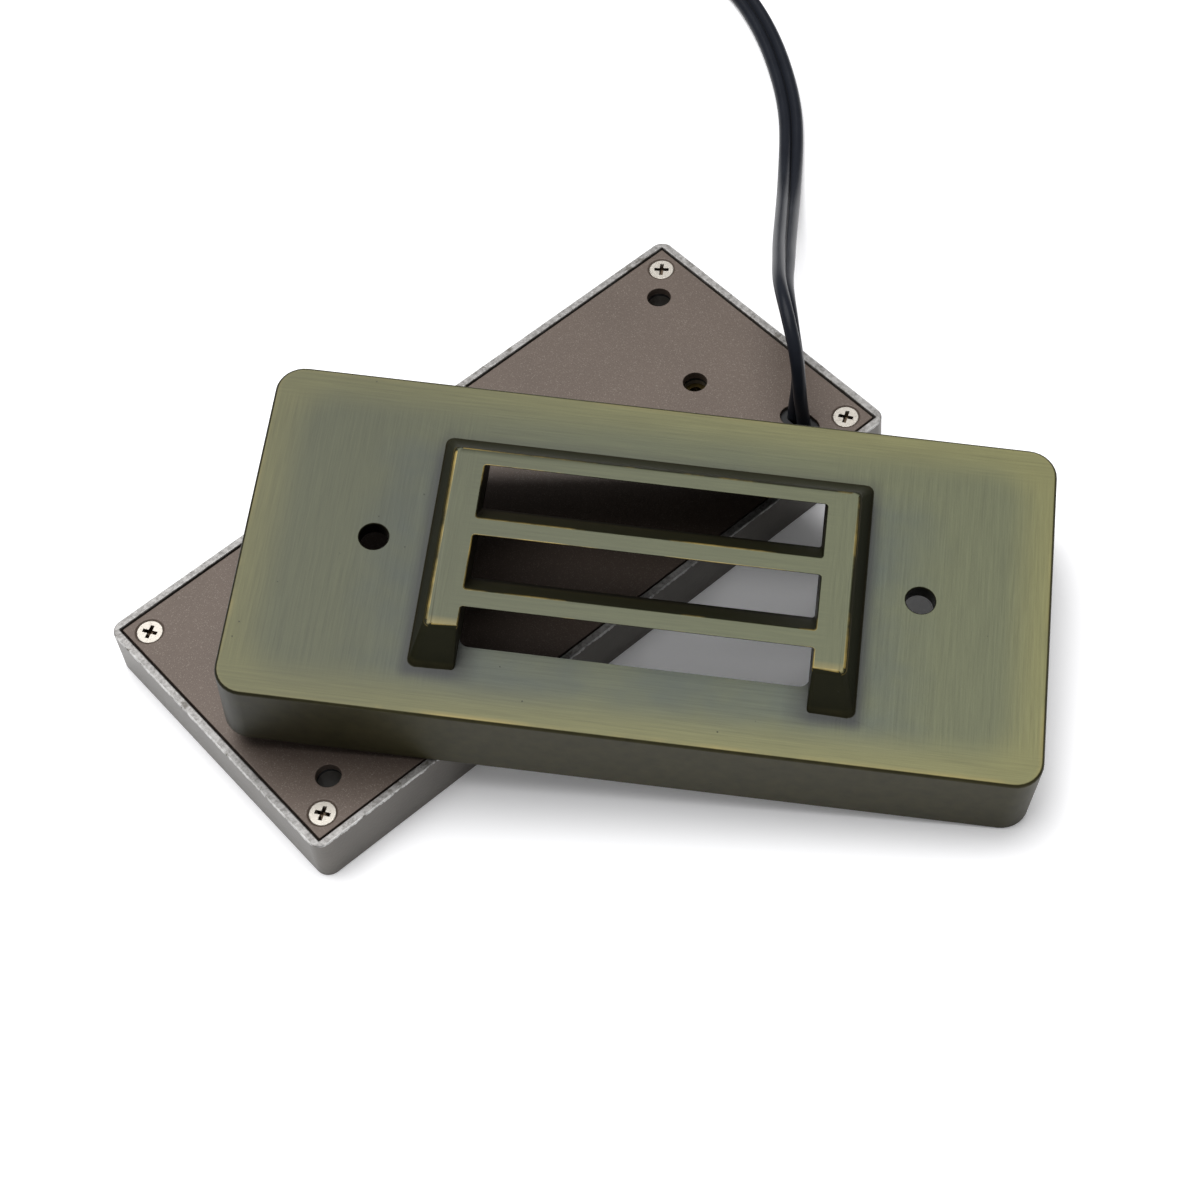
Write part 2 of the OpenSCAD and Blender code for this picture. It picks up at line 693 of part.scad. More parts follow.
// Centre line of the coil: straight for one width, round clockwise, straight again
coil_band = coil_pitch * lower_rings / loop_rings;
coil_outer_r = coil_mean_r + coil_band / 2;
coil_start = cord_path[cord_last] + cord_w * cord_out;
coil_centre = coil_start + coil_outer_r * [cord_out.y, -cord_out.x, 0];
coil_angle = atan2(coil_start.y - coil_centre.y, coil_start.x - coil_centre.x);
function coil_r(k) = coil_outer_r - coil_band + coil_pitch * abs(k - lower_rings) / loop_rings;
function coil_share(k) = max(0, min(1, (k - lower_rings) * 360 / loop_rings / coil_climb + 0.5));
function coil_z(k) = cord_floor + coil_layer * (1 - cos(180 * coil_share(k))) / 2;
function coil_point(k) = let (a = coil_angle - 360 * k / loop_rings)
    [coil_centre.x + coil_r(k) * cos(a), coil_centre.y + coil_r(k) * sin(a), coil_z(k)];
coil_loops = [for (k = [0:lower_rings + upper_rings]) coil_point(k)];
coil_out = let (t = along(coil_loops, len(coil_loops) - 1)) unit([t.x, t.y, 0]);
coil_end = coil_loops[len(coil_loops) - 1] + cord_w * coil_out;
coil_path = concat([cord_path[cord_last]], coil_loops, [coil_end]);

// Two round cores side by side with a waist between them
function cord_outline() = let (r = cord_t / 2, c = leg_pitch / 2, waist_share = 0.75)
    [[c + r, 0], [c + r * cos(45), r * sin(45)], [c, r], [0, r * waist_share],
    [-c, r], [-c - r * cos(45), r * sin(45)], [-c - r, 0], [-c - r * cos(45), -r * sin(45)],
    [-c, -r], [0, -r * waist_share], [c, -r], [c + r * cos(45), -r * sin(45)]];

// The same cable with six sides
function coil_outline() = let (r = cord_t / 2, c = leg_pitch / 2)
    [[c + r, 0], [c, r], [-c, r], [-c - r, 0], [-c, -r], [c, -r]];

module cable() {
    color("black") tube([for (i = [0:cord_last])
        ring(cord_path, i, cord_route[i][3], cord_outline())]);
}

// Distance between the nearest points of two rings
function ring_gap(a, b) = min([for (p = a, q = b) norm(p - q)]);

module cable_coil() {
    rings = [for (i = [0:len(coil_path) - 1]) ring(coil_path, i, 0, coil_outline())];
    gaps = [for (i = [0:len(rings) - 1], n = [1:5], d = [-2:2])
        if (i + n * loop_rings + d < len(rings)) ring_gap(rings[i], rings[i + n * loop_rings + d])];
    steps = [for (path = [cord_path, coil_path], i = [1:len(path) - 1]) norm(path[i] - path[i - 1])];
    echo(least_gap_in_coil = min(gaps), cable_length = total(steps));
    color("black") tube(rings);
}

// Tinned strands at the free end
module cable_ends() {
    side = [coil_out.y, -coil_out.x, 0];
    color("lightgray") for (s = [-1, 1])
        translate(coil_end + s * side * leg_pitch / 2) rotate([0, 90, atan2(coil_out.y, coil_out.x)])
            cylinder(d = strand_d, h = bare_l);
}

// Corner post of the cover with its rounded upper edge
module cover_post() {
    steps = 4;
    rotate_extrude() polygon(concat([[0, 0], [cover_corner_r, 0]],
        [for (k = [0:steps]) let (a = 90 * k / steps)
            [cover_corner_r - cover_edge_r * (1 - cos(a)), cover_h - cover_edge_r * (1 - sin(a))]],
        [[0, cover_h]]));
}

// Thin level slice of the hood or of an opening in it, from y0 up to y1
module slice(l, y0, y1, r, z) {
    translate([0, (y0 + y1) / 2, z]) linear_extrude(skin) rounded(l, y1 - y0, r);
}

// Slanted opening whose upper side runs through y at the hood's top
module louvre(y_low_top, y_low_foot, y, r, z0, z1) {
    rate = hood_run / hood_h;
    hull() {
        slice(slot_l, y_low_top, y - rate * (z1 - hood_h), r, z1);
        slice(slot_l, y_low_foot, y + rate * (hood_h - z0), r, z0);
    }
}

// Block that the hood's openings are cut from, with slanted sides and a rounded top edge
module hood_block() {
    draft = hood_edge_r / hood_h;
    hull() {
        slice(foot_l, foot_lower_y, foot_upper_y, hood_corner_r, -cover_face_t / 2);
        slice(foot_l, foot_lower_y, foot_upper_y, hood_corner_r, 0);
        slice(hood_l + 2 * draft * hood_end_draft, hood_lower_y - draft * leg_run,
            hood_upper_y + draft * hood_run, hood_corner_r, hood_h - hood_edge_r);
        slice(hood_l - 2 * hood_edge_r, hood_lower_y + hood_edge_r,
            hood_upper_y - hood_edge_r, hood_corner_r, hood_h - skin);
    }
}

// Cast cover in its own place: rim at zero, face up, louvred hood on the face
module cover_cast() {
    $fn = 32;
    below = -cover_face_t - cut;
    above = hood_h + cut;
    rate = hood_run / hood_h;
    core_l = side_rail_w + hood_end_draft / 2 - 2 * core_wall;
    core_y = [last_slot_y + core_wall, hood_upper_y - core_wall];
    difference() {
        union() {
            difference() {
                hull() at_corners([cover_l / 2 - cover_corner_r, cover_w / 2 - cover_corner_r]) cover_post();
                slab(cover_l - 2 * cover_wall, cover_w - 2 * cover_wall, cover_corner_r - cover_wall,
                    -cut, cover_h - cover_face_t);
            }
            at_places(insert_places)
                rod(cover_boss_d, cover_h - cover_face_t - cover_boss_h, cover_h - cover_face_t / 2);
            translate([0, 0, cover_h]) hood_block();
        }
        at_places(insert_places) rod(cover_hole_d, 0, cover_h + cut);
        translate([0, 0, cover_h]) {
            for (k = [0:blades - 1]) let (y = slot_upper_y - k * slot_pitch)
                louvre(y - slot_w - rate * cut, y - slot_w + rate * (hood_h - below), y, slot_r, below, above);
            louvre(foot_lower_y - cut, foot_lower_y - cut, last_slot_y, slot_r, 0, above);
            louvre(opening_lower_y, opening_lower_y, last_slot_y, opening_r, below, skin);
            for (s = [-1, 1])
                translate([s * (slot_l / 2 + core_wall + core_l / 2), (core_y[0] + core_y[1]) / 2, below])
                    linear_extrude(hood_h - core_wall - below) rounded(core_l, core_y[1] - core_y[0], slot_r);
        }
    }
}

module cover() {
    color("darkkhaki") translate(cover_centre) rotate([cover_tilt, 0, 0]) rotate(cover_yaw) cover_cast();
}

housing();
back_plate();
back_gasket();
back_screws();
column_seals();
cover_screw_inserts();
lens();
lens_seal();
led_board();
leds();
led_board_screws();
led_wire_red();
led_wire_black();
driver_board();
driver_board_screws();
rectifier();
driver_ic();
inductor();
capacitors();
cable_grommet();
cable_legs();
cable_strands();
cable_clamp();
cable_clamp_screws();
cable();
cable_coil();
cable_ends();
cover();
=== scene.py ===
import math

import bmesh
import bpy
import numpy as np
from mathutils import Matrix, Vector


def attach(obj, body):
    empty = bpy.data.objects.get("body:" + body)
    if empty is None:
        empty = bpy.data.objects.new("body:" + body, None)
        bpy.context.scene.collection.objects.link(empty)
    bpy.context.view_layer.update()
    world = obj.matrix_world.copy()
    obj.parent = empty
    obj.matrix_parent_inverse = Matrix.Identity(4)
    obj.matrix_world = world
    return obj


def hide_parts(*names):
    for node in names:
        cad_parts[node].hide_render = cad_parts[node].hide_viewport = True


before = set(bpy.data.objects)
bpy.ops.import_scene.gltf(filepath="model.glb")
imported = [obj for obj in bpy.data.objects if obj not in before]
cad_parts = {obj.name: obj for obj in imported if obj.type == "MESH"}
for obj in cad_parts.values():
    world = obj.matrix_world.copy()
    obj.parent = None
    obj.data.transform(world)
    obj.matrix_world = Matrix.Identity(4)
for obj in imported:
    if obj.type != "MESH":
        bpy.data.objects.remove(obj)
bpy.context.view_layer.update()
scene = bpy.context.scene
scene.view_settings.view_transform = "Standard"


# Camera: where the photograph was taken from, 55 degrees down on the part and 35 degrees
# round from the engine's long side, rolled by 7 degrees, with a long lens.
azimuth, pitch, roll = math.radians(34.80), math.radians(55.006), math.radians(7.479)
target, distance = Vector((0.006299, -0.02336, 0.0)), 0.550264
lens, sensor_w, nearest = 75.99, 36.0, 0.01
view_ahead = Vector((math.sin(azimuth) * math.cos(pitch), math.cos(azimuth) * math.cos(pitch),
                     -math.sin(pitch)))
level_right = Vector((math.cos(azimuth), -math.sin(azimuth), 0.0))
view_up = Vector((math.sin(azimuth) * math.sin(pitch), math.cos(azimuth) * math.sin(pitch),
                  math.cos(pitch)))
rolled_right = level_right * math.cos(roll) - view_up * math.sin(roll)
rolled_up = level_right * math.sin(roll) + view_up * math.cos(roll)
camera = bpy.data.objects.new("camera", bpy.data.cameras.new("camera"))
camera.data.sensor_width = sensor_w
camera.data.lens = lens
camera.data.clip_start = nearest
turned = Matrix((rolled_right, rolled_up, -view_ahead)).transposed().to_4x4()
camera.matrix_world = Matrix.Translation(target - view_ahead * distance) @ turned
scene.collection.objects.link(camera)
scene.camera = camera


# Supply cable: 18-gauge flat twin cable for garden lights, black PVC over two stranded
# cores, split by a groove. It rises out of the slot in the back plate, arches over the
# rim and lies on the floor. What the photograph doesn't show is coiled beyond its edge.
cable_w, cable_t = 6.0, 3.0
core_r, web_half, core_arc, core_steps = cable_t / 2, 0.4, 150, 17
cable_exit = (65.5, -23.7)
# X and Y past the exit and height, all in mm, and the turn of the flat side in degrees
cable_route = [
    (0, 0, 10.8, 125), (0, 0, 14, 118), (0.2, 0.1, 18, 99), (0.6, 0.4, 22, 87),
    (1.3, 1.3, 26, 84), (2.4, 3.2, 29.8, 78), (4, 6, 32.6, 75), (6.2, 9.4, 34.2, 69),
    (8.8, 13.2, 34.2, 61), (11.9, 17.2, 32.6, 56), (15.5, 21.2, 30, 53), (19.5, 25.3, 27, 47),
    (24, 30, 23.6, 41), (28.5, 34.7, 20, 38), (33.5, 39.7, 16.4, 35), (38.5, 44.7, 12.8, 32),
    (43.5, 49.7, 9.2, 30), (48.5, 54.7, 6, 27), (53.5, 59.7, 3.8, 23), (58.5, 64.7, 2.4, 18),
    (64, 70.2, 1.9, 12), (69.5, 76.2, 1.67, 6), (74.5, 82.8, 1.56, 2), (79, 89.8, 1.5, 0),
    (83.2, 97.2, 1.5, 0), (86.7, 104.5, 1.5, 0), (89.8, 112.5, 1.5, 0), (92, 120.7, 1.5, 0),
    (92.9, 129.2, 1.5, 0), (92.7, 137.7, 1.5, 0)]
steps_between = 5
coil_radius, coil_pitch, coil_layer, rings_per_turn = 34.0, 6.5, 3.5, 24
rings_in, rings_out, ring_step = 69, 54, 0.5
# Where the cable stands steeply, its flat side is turned from the heading of its arch
arch_heading = math.radians(55)
across_arch = np.array([math.sin(arch_heading), -math.cos(arch_heading), 0])
steep_level, level_span, least_level = 0.3, 0.4, 1e-6


def between(points, steps):
    """Points of a smooth curve that keeps close to the given ones, steps to each stretch."""
    padded = np.vstack([2 * points[0] - points[1], points, 2 * points[-1] - points[-2]])
    out = []
    for i in range(1, len(padded) - 2):
        a, b, c, d = padded[i - 1:i + 3]
        for s in np.arange(steps) / steps:
            out.append(((1 - s) ** 3 * a + (3 * s ** 3 - 6 * s * s + 4) * b
                        + (1 + 3 * s + 3 * s * s - 3 * s ** 3) * c + s ** 3 * d) / 6)
    return np.array(out + [points[-1]])


def coil_points(start, heading):
    """Centre line of the coil: inward on the floor, up within half a turn, then outward."""
    band = coil_pitch * rings_in / rings_per_turn
    outer = coil_radius + band / 2
    centre = start + outer * np.array([heading[1], -heading[0], 0])
    first = math.atan2(start[1] - centre[1], start[0] - centre[0])
    out = []
    for k in np.arange(0, rings_in + rings_out + ring_step / 2, ring_step):
        r = outer - band + coil_pitch * abs(k - rings_in) / rings_per_turn
        share = min(1, max(0, (k - rings_in) * 2 / rings_per_turn + 0.5))
        a = first - 2 * math.pi * k / rings_per_turn
        out.append((centre[0] + r * math.cos(a), centre[1] + r * math.sin(a),
                    core_r + coil_layer * (1 - math.cos(math.pi * share)) / 2))
    return np.array(out)


route = np.array([(cable_exit[0] + x, cable_exit[1] + y, z, turn)
                  for x, y, z, turn in cable_route], float)
heading = route[-1, :3] - route[-2, :3]
heading /= np.linalg.norm(heading)
laid = between(route, steps_between)
wound = coil_points(route[-1, :3] + cable_w * heading, heading)
last = wound[-1] - wound[-2]
last /= np.linalg.norm(last)
cable_path = np.vstack([laid[:, :3], wound, wound[-1] + cable_w * last * (1, 1, 0)])
cable_turn = np.concatenate([laid[:, 3], np.zeros(len(wound) + 1)])
cable_path[:, 2] = np.maximum(cable_path[:, 2], core_r)

# Cross-section: two round cores, a web between them, and the groove on both sides, with
# the depth in the groove as each point's third value
section = []
for side in (1, -1):
    for angle in np.radians(np.linspace(-core_arc, core_arc, core_steps)) * side:
        section.append((side * (core_r + core_r * math.cos(angle)), core_r * math.sin(angle), 0.0))
    section.append((0.0, web_half * side, 1.0))

cable_mesh = bmesh.new()
groove = cable_mesh.verts.layers.float.new("groove")
rings = []
for i, point in enumerate(cable_path):
    ahead = cable_path[min(i + 1, len(cable_path) - 1)] - cable_path[max(i - 1, 0)]
    ahead /= np.linalg.norm(ahead)
    level = math.hypot(ahead[0], ahead[1])
    across_level = np.array([ahead[1], -ahead[0], 0]) / max(level, least_level)
    share = min(1, max(0, (level - steep_level) / level_span))
    across = across_level * share + across_arch * (1 - share)
    across -= across.dot(ahead) * ahead
    across /= np.linalg.norm(across)
    upward = np.cross(ahead, across)
    turn = math.radians(cable_turn[i])
    u = math.cos(turn) * across + math.sin(turn) * upward
    v = np.cross(ahead, u)
    ring = []
    for x, y, deep in section:
        vert = cable_mesh.verts.new((point + x * u + y * v) / 1000)
        vert[groove] = deep
        ring.append(vert)
    rings.append(ring)
for a, b in zip(rings, rings[1:]):
    for j in range(len(section)):
        after = (j + 1) % len(section)
        cable_mesh.faces.new((a[j], b[j], b[after], a[after]))
cable_mesh.faces.new(rings[0])
cable_mesh.faces.new(list(reversed(rings[-1])))
bmesh.ops.recalc_face_normals(cable_mesh, faces=cable_mesh.faces)
cable = bpy.data.objects.new("supply_cable", bpy.data.meshes.new("supply_cable"))
cable_mesh.to_mesh(cable.data)
cable_mesh.free()
cable.data.shade_smooth()
scene.collection.objects.link(cable)


def put(tree, kind, inputs=None, **settings):
    """Adds one node: settings are its properties, inputs are values or sockets to link.

    A socket goes by its number where its name isn't the only one: 0 is what comes in or the
    share of a mix, 1 and 2 a range and 3 and 4 what it becomes, 6 and 7 the mixed colours."""
    node = tree.nodes.new(kind)
    for name, value in settings.items():
        setattr(node, name, value)
    for name, value in (inputs or {}).items():
        if isinstance(value, bpy.types.NodeSocket):
            tree.links.new(value, node.inputs[name])
        else:
            node.inputs[name].default_value = value
    return node


def colour(hex_code):
    """Linear RGBA of an sRGB hex value."""
    parts = [int(hex_code[i:i + 2], 16) / 255 for i in (1, 3, 5)]
    return tuple(p / 12.92 if p <= 0.04045 else ((p + 0.055) / 1.055) ** 2.4
                 for p in parts) + (1.0,)


def material(name, **shader):
    """A new material and its main shader, with what is the same all over set on its sockets."""
    made = bpy.data.materials.new(name)
    made.use_nodes = True
    principled = made.node_tree.nodes["Principled BSDF"]
    for socket, value in shader.items():
        principled.inputs[socket.replace("_", " ")].default_value = value
    return made, made.node_tree, principled


def dress(nodes, made):
    """Gives CAD nodes one material in place of their own."""
    for node in nodes:
        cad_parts[node].data.materials.clear()
        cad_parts[node].data.materials.append(made)


# Height in m of the fine relief that the finishes have
relief_h = 0.0001

# Extruded PVC with a slight bloom: charcoal, satin, and painted shade nearly black in the groove
black_pvc, tree, shader = material("black_pvc_jacket", Roughness=0.32, Specular_IOR_Level=0.1)
place = put(tree, "ShaderNodeTexCoord").outputs["Object"]
bloom = put(tree, "ShaderNodeTexNoise", {"Vector": place, "Scale": 180.0, "Detail": 3.0})
grain = put(tree, "ShaderNodeTexNoise", {"Vector": place, "Scale": 2500.0, "Detail": 2.0})
deep = put(tree, "ShaderNodeAttribute", attribute_name="groove")
tone = put(tree, "ShaderNodeMix", {0: bloom.outputs[0], 6: colour("#181A20"),
           7: colour("#23262D")}, data_type="RGBA")
# Painted shade: the colour goes nearly black down in the groove
groove_painted_shade = put(tree, "ShaderNodeMix", {0: deep.outputs["Fac"], 6: tone.outputs[2],
           7: colour("#040405")}, data_type="RGBA")
bump = put(tree, "ShaderNodeBump", {"Height": grain.outputs[0], "Strength": 0.12,
           "Distance": relief_h})
tree.links.new(groove_painted_shade.outputs[2], shader.inputs["Base Color"])
tree.links.new(bump.outputs[0], shader.inputs["Normal"])
cable.data.materials.append(black_pvc)

# Bared ends: tinned copper strands, twisted together
tinned, tree, shader = material("tinned_copper_strands", Metallic=1.0, Roughness=0.3)
place = put(tree, "ShaderNodeTexCoord").outputs["Object"]
twist = put(tree, "ShaderNodeTexWave", {"Vector": place, "Scale": 900.0, "Distortion": 2.0},
            bands_direction="DIAGONAL")
tone = put(tree, "ShaderNodeMix", {0: twist.outputs["Fac"], 6: colour("#8E857A"),
           7: colour("#D9D3C8")}, data_type="RGBA")
bump = put(tree, "ShaderNodeBump", {"Height": twist.outputs["Fac"], "Strength": 0.6,
           "Distance": relief_h})
tree.links.new(tone.outputs[2], shader.inputs["Base Color"])
tree.links.new(bump.outputs[0], shader.inputs["Normal"])
dress(["cable_ends", "cable_strands"], tinned)

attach(cable, "engine")
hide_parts("cable", "cable_coil")


# Cover: cast brass, blackened all over, then brushed on its face and on top of the hood,
# so the dark antique finish stays on the walls, in the slots and round the hood's foot,
# and bare brass shows where the edges have worn.
cover_tilt, cover_yaw = math.radians(8.1066), math.radians(-48.2)
cover_centre = (0.0055, -0.039378, 0.011990)
cover_turn = (Matrix.Rotation(cover_tilt, 3, "X") @ Matrix.Rotation(cover_yaw, 3, "Z")).to_euler()
# Sizes in mm from the middle of its rim: half the outline and its corners, the heights of
# face and hood, half the hood's foot and its middle, and half the openings
half_l, half_w, corner_r = 82.5, 39.0, 6.0
face_z, hood_z = 20.0, 28.0
foot_half_l, foot_half_w, foot_y = 44.3, 27.0, -1.75
openings_half_l = 36.0
rim_band_w = 15.0
# Welding distance in m, the angle in degrees up to which faces count as one, and the
# cosine down to which they share their normal
weld, flat_angle, same_way = 2e-5, 0.4, 0.77


def rounded_copy(node, name, width, angle, where=None, edge_slot=0, rounder=0.0,
                 rounder_edge=None):
    """A welded copy of a CAD node with the fine rounding that a cast or painted edge has.

    Of the edges that turn by more than angle, those that where picks are rounded, by width
    in mm. Those that rounder_edge picks are rounded first, by the larger width rounder."""
    shape = bmesh.new()
    shape.from_mesh(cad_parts[node].data)
    bmesh.ops.remove_doubles(shape, verts=shape.verts, dist=weld)
    bmesh.ops.dissolve_degenerate(shape, dist=weld, edges=shape.edges)
    bmesh.ops.dissolve_limit(shape, angle_limit=math.radians(flat_angle), verts=shape.verts,
                             edges=shape.edges)
    for face in shape.faces:
        face.smooth = True
        face.material_index = 0

    def is_sharp(edge):
        return len(edge.link_faces) == 2 and edge.calc_face_angle() > math.radians(angle)

    if rounder_edge:
        wide = [edge for edge in shape.edges if is_sharp(edge) and rounder_edge(edge)]
        bmesh.ops.bevel(shape, geom=wide, offset=rounder / 1000, offset_type="OFFSET", segments=4,
                        profile=0.5, affect="EDGES", clamp_overlap=False, material=-1)
    fine = [edge for edge in shape.edges if is_sharp(edge) and (where is None or where(edge))]
    bmesh.ops.bevel(shape, geom=fine, offset=width / 1000, offset_type="OFFSET", segments=3,
                    profile=0.5, affect="EDGES", clamp_overlap=False, material=edge_slot)
    shape.normal_update()
    shape.faces.index_update()
    areas = [face.calc_area() for face in shape.faces]
    corner_normals = []
    for face in shape.faces:
        for corner in face.loops:
            near = [other for other in corner.vert.link_faces
                    if other.normal.dot(face.normal) > same_way]
            total = sum((other.normal * areas[other.index] for other in near), Vector())
            corner_normals.append(total.normalized() if total.length else face.normal.copy())
    made = bpy.data.objects.new(name, bpy.data.meshes.new(name))
    shape.to_mesh(made.data)
    shape.free()
    made.data.normals_split_custom_set(corner_normals)
    scene.collection.objects.link(made)
    return made


def beyond(tree, point, middle, half_x, half_y):
    """How far a point lies outside an upright box without top or bottom, in mm."""
    past = put(tree, "ShaderNodeVectorMath", {0: point, 1: middle}, operation="SUBTRACT")
    past = put(tree, "ShaderNodeVectorMath", {0: past.outputs[0]}, operation="ABSOLUTE")
    past = put(tree, "ShaderNodeVectorMath", {0: past.outputs[0], 1: (half_x, half_y, 1000.0)},
               operation="SUBTRACT")
    past = put(tree, "ShaderNodeVectorMath", {0: past.outputs[0], 1: (0, 0, 0)},
               operation="MAXIMUM")
    return put(tree, "ShaderNodeVectorMath", {0: past.outputs[0]},
               operation="LENGTH").outputs["Value"]


def aged_brass(name, on_edge):
    """The cover's finish, for its faces and walls, or for the rounding of its edges."""
    made, tree, shader = material(name, Metallic=0.35, Roughness=0.46)
    here = put(tree, "ShaderNodeTexCoord")
    own = put(tree, "ShaderNodeMapping", {"Vector": here.outputs["Object"],
              "Location": cover_centre, "Rotation": cover_turn}, vector_type="TEXTURE")
    mm = put(tree, "ShaderNodeVectorMath", {0: own.outputs[0], "Scale": 1000.0},
             operation="SCALE").outputs[0]
    size = put(tree, "ShaderNodeVectorMath", {0: mm}, operation="ABSOLUTE").outputs[0]
    xyz = put(tree, "ShaderNodeSeparateXYZ", {0: mm})
    outer = put(tree, "ShaderNodeSeparateXYZ", {0: size})
    # 1 on the face and the hood's top, 0 on the walls
    face_normal = (0.0, -math.sin(cover_tilt), math.cos(cover_tilt))
    facing = put(tree, "ShaderNodeVectorMath", {0: here.outputs["Normal"], 1: face_normal},
                 operation="DOT_PRODUCT")
    brushed = put(tree, "ShaderNodeMapRange", {0: facing.outputs["Value"], 1: 0.93,
                  2: 0.995}).outputs[0]

    # The band along the outline, the distance outside the middles of its corners, and the
    # distance outside the hood's foot
    band = beyond(tree, mm, (0, 0, 0), half_l - rim_band_w, half_w - rim_band_w)
    rim_band = put(tree, "ShaderNodeMapRange", {0: band, 1: rim_band_w - 11.0,
                   2: rim_band_w - 1.0}, interpolation_type="SMOOTHSTEP").outputs[0]
    outline = beyond(tree, mm, (0, 0, 0), half_l - corner_r, half_w - corner_r)
    foot = beyond(tree, mm, (0.0, foot_y, 0.0), foot_half_l, foot_half_w)
    near_foot = put(tree, "ShaderNodeMapRange", {0: foot, 1: 3.4, 2: 0.1},
                    interpolation_type="SMOOTHSTEP").outputs[0]
    round_foot = put(tree, "ShaderNodeMapRange", {0: foot, 1: 26.0, 2: 2.0},
                     interpolation_type="SMOOTHSTEP").outputs[0]
    # The halo round the foot: not between the legs, and less above the hood
    on_face = put(tree, "ShaderNodeMapRange", {0: xyz.outputs["Z"], 1: face_z + 1.5,
                  2: face_z + 0.2}).outputs[0]
    between_legs = put(tree, "ShaderNodeMapRange", {0: outer.outputs["X"], 1: openings_half_l,
                       2: openings_half_l - 6.0}).outputs[0]
    low = put(tree, "ShaderNodeMapRange", {0: xyz.outputs["Y"], 1: -21.0, 2: -22.0}).outputs[0]
    open_front = put(tree, "ShaderNodeMath", {0: between_legs, 1: low},
                     operation="MULTIPLY").outputs[0]
    closed = put(tree, "ShaderNodeMath", {0: 1.0, 1: open_front}, operation="SUBTRACT").outputs[0]
    above = put(tree, "ShaderNodeMapRange", {0: xyz.outputs["Y"], 1: 20.0, 2: 26.0, 3: 1.0,
                4: 0.35}).outputs[0]
    halo = near_foot
    for share in (on_face, closed, above):
        halo = put(tree, "ShaderNodeMath", {0: halo, 1: share}, operation="MULTIPLY").outputs[0]

    # Brush marks half a millimetre wide: along the short side at both ends and on the side
    # rails, along the long side elsewhere
    lengthways = put(tree, "ShaderNodeMapping", {"Vector": mm, "Scale": (0.05, 1.9, 0.0)})
    lengthways = put(tree, "ShaderNodeTexNoise", {"Vector": lengthways.outputs[0], "Scale": 1.0,
                     "Detail": 5.0, "Roughness": 0.7}).outputs[0]
    crossways = put(tree, "ShaderNodeMapping", {"Vector": mm, "Scale": (1.9, 0.06, 0.0)})
    crossways = put(tree, "ShaderNodeTexNoise", {"Vector": crossways.outputs[0], "Scale": 1.0,
                    "Detail": 5.0, "Roughness": 0.7}).outputs[0]
    ends = put(tree, "ShaderNodeMapRange", {0: outer.outputs["X"], 1: openings_half_l - 2.0,
               2: openings_half_l + 3.0}, interpolation_type="SMOOTHSTEP").outputs[0]
    inside = put(tree, "ShaderNodeMapRange", {0: outer.outputs["Y"], 1: half_w - 4.0,
                 2: half_w - 11.0}, interpolation_type="SMOOTHSTEP").outputs[0]
    ends = put(tree, "ShaderNodeMath", {0: ends, 1: inside}, operation="MULTIPLY").outputs[0]
    marks = put(tree, "ShaderNodeMix", {0: ends, 2: lengthways, 3: crossways}).outputs[0]

    # Tones of the brushed patina: olive, bluish round the hood, yellower along the outline,
    # dark in the halo; and painted light, lighter from left to right
    cloud = put(tree, "ShaderNodeTexNoise", {"Vector": mm, "Scale": 0.05, "Detail": 3.0,
                "Roughness": 0.6}).outputs[0]
    cloud = put(tree, "ShaderNodeMapRange", {0: cloud, 1: 0.35, 2: 0.65, 3: 0.4,
                4: 1.0}).outputs[0]
    cloud = put(tree, "ShaderNodeMath", {0: cloud, 1: above}, operation="MULTIPLY").outputs[0]
    blue = put(tree, "ShaderNodeMath", {0: round_foot, 1: cloud, 2: -0.25},
               operation="MULTIPLY_ADD").outputs[0]
    blue = put(tree, "ShaderNodeMath", {0: blue, 1: on_face}, operation="MULTIPLY",
               use_clamp=True).outputs[0]
    tone = colour("#51543D")
    for share, over in ((blue, "#3F4641"), (rim_band, "#646340"), (halo, "#292B29")):
        tone = put(tree, "ShaderNodeMix", {0: share, 6: tone, 7: colour(over)},
                   data_type="RGBA").outputs[2]
    streak_and_painted_light = put(tree, "ShaderNodeMapRange", {0: marks, 1: 0.3, 2: 0.7, 3: 0.84,
                 4: 1.16}).outputs[0]
    # Painted light: the face darker at its left end and lighter at its right
    side = put(tree, "ShaderNodeMapRange", {0: xyz.outputs["X"], 1: -60.0, 2: 75.0, 3: 0.62,
               4: 1.24}).outputs[0]
    streak_and_painted_light = put(tree, "ShaderNodeMath", {0: streak_and_painted_light, 1: side}, operation="MULTIPLY").outputs[0]
    tone = put(tree, "ShaderNodeVectorMath", {0: tone, "Scale": streak_and_painted_light},
               operation="SCALE").outputs[0]
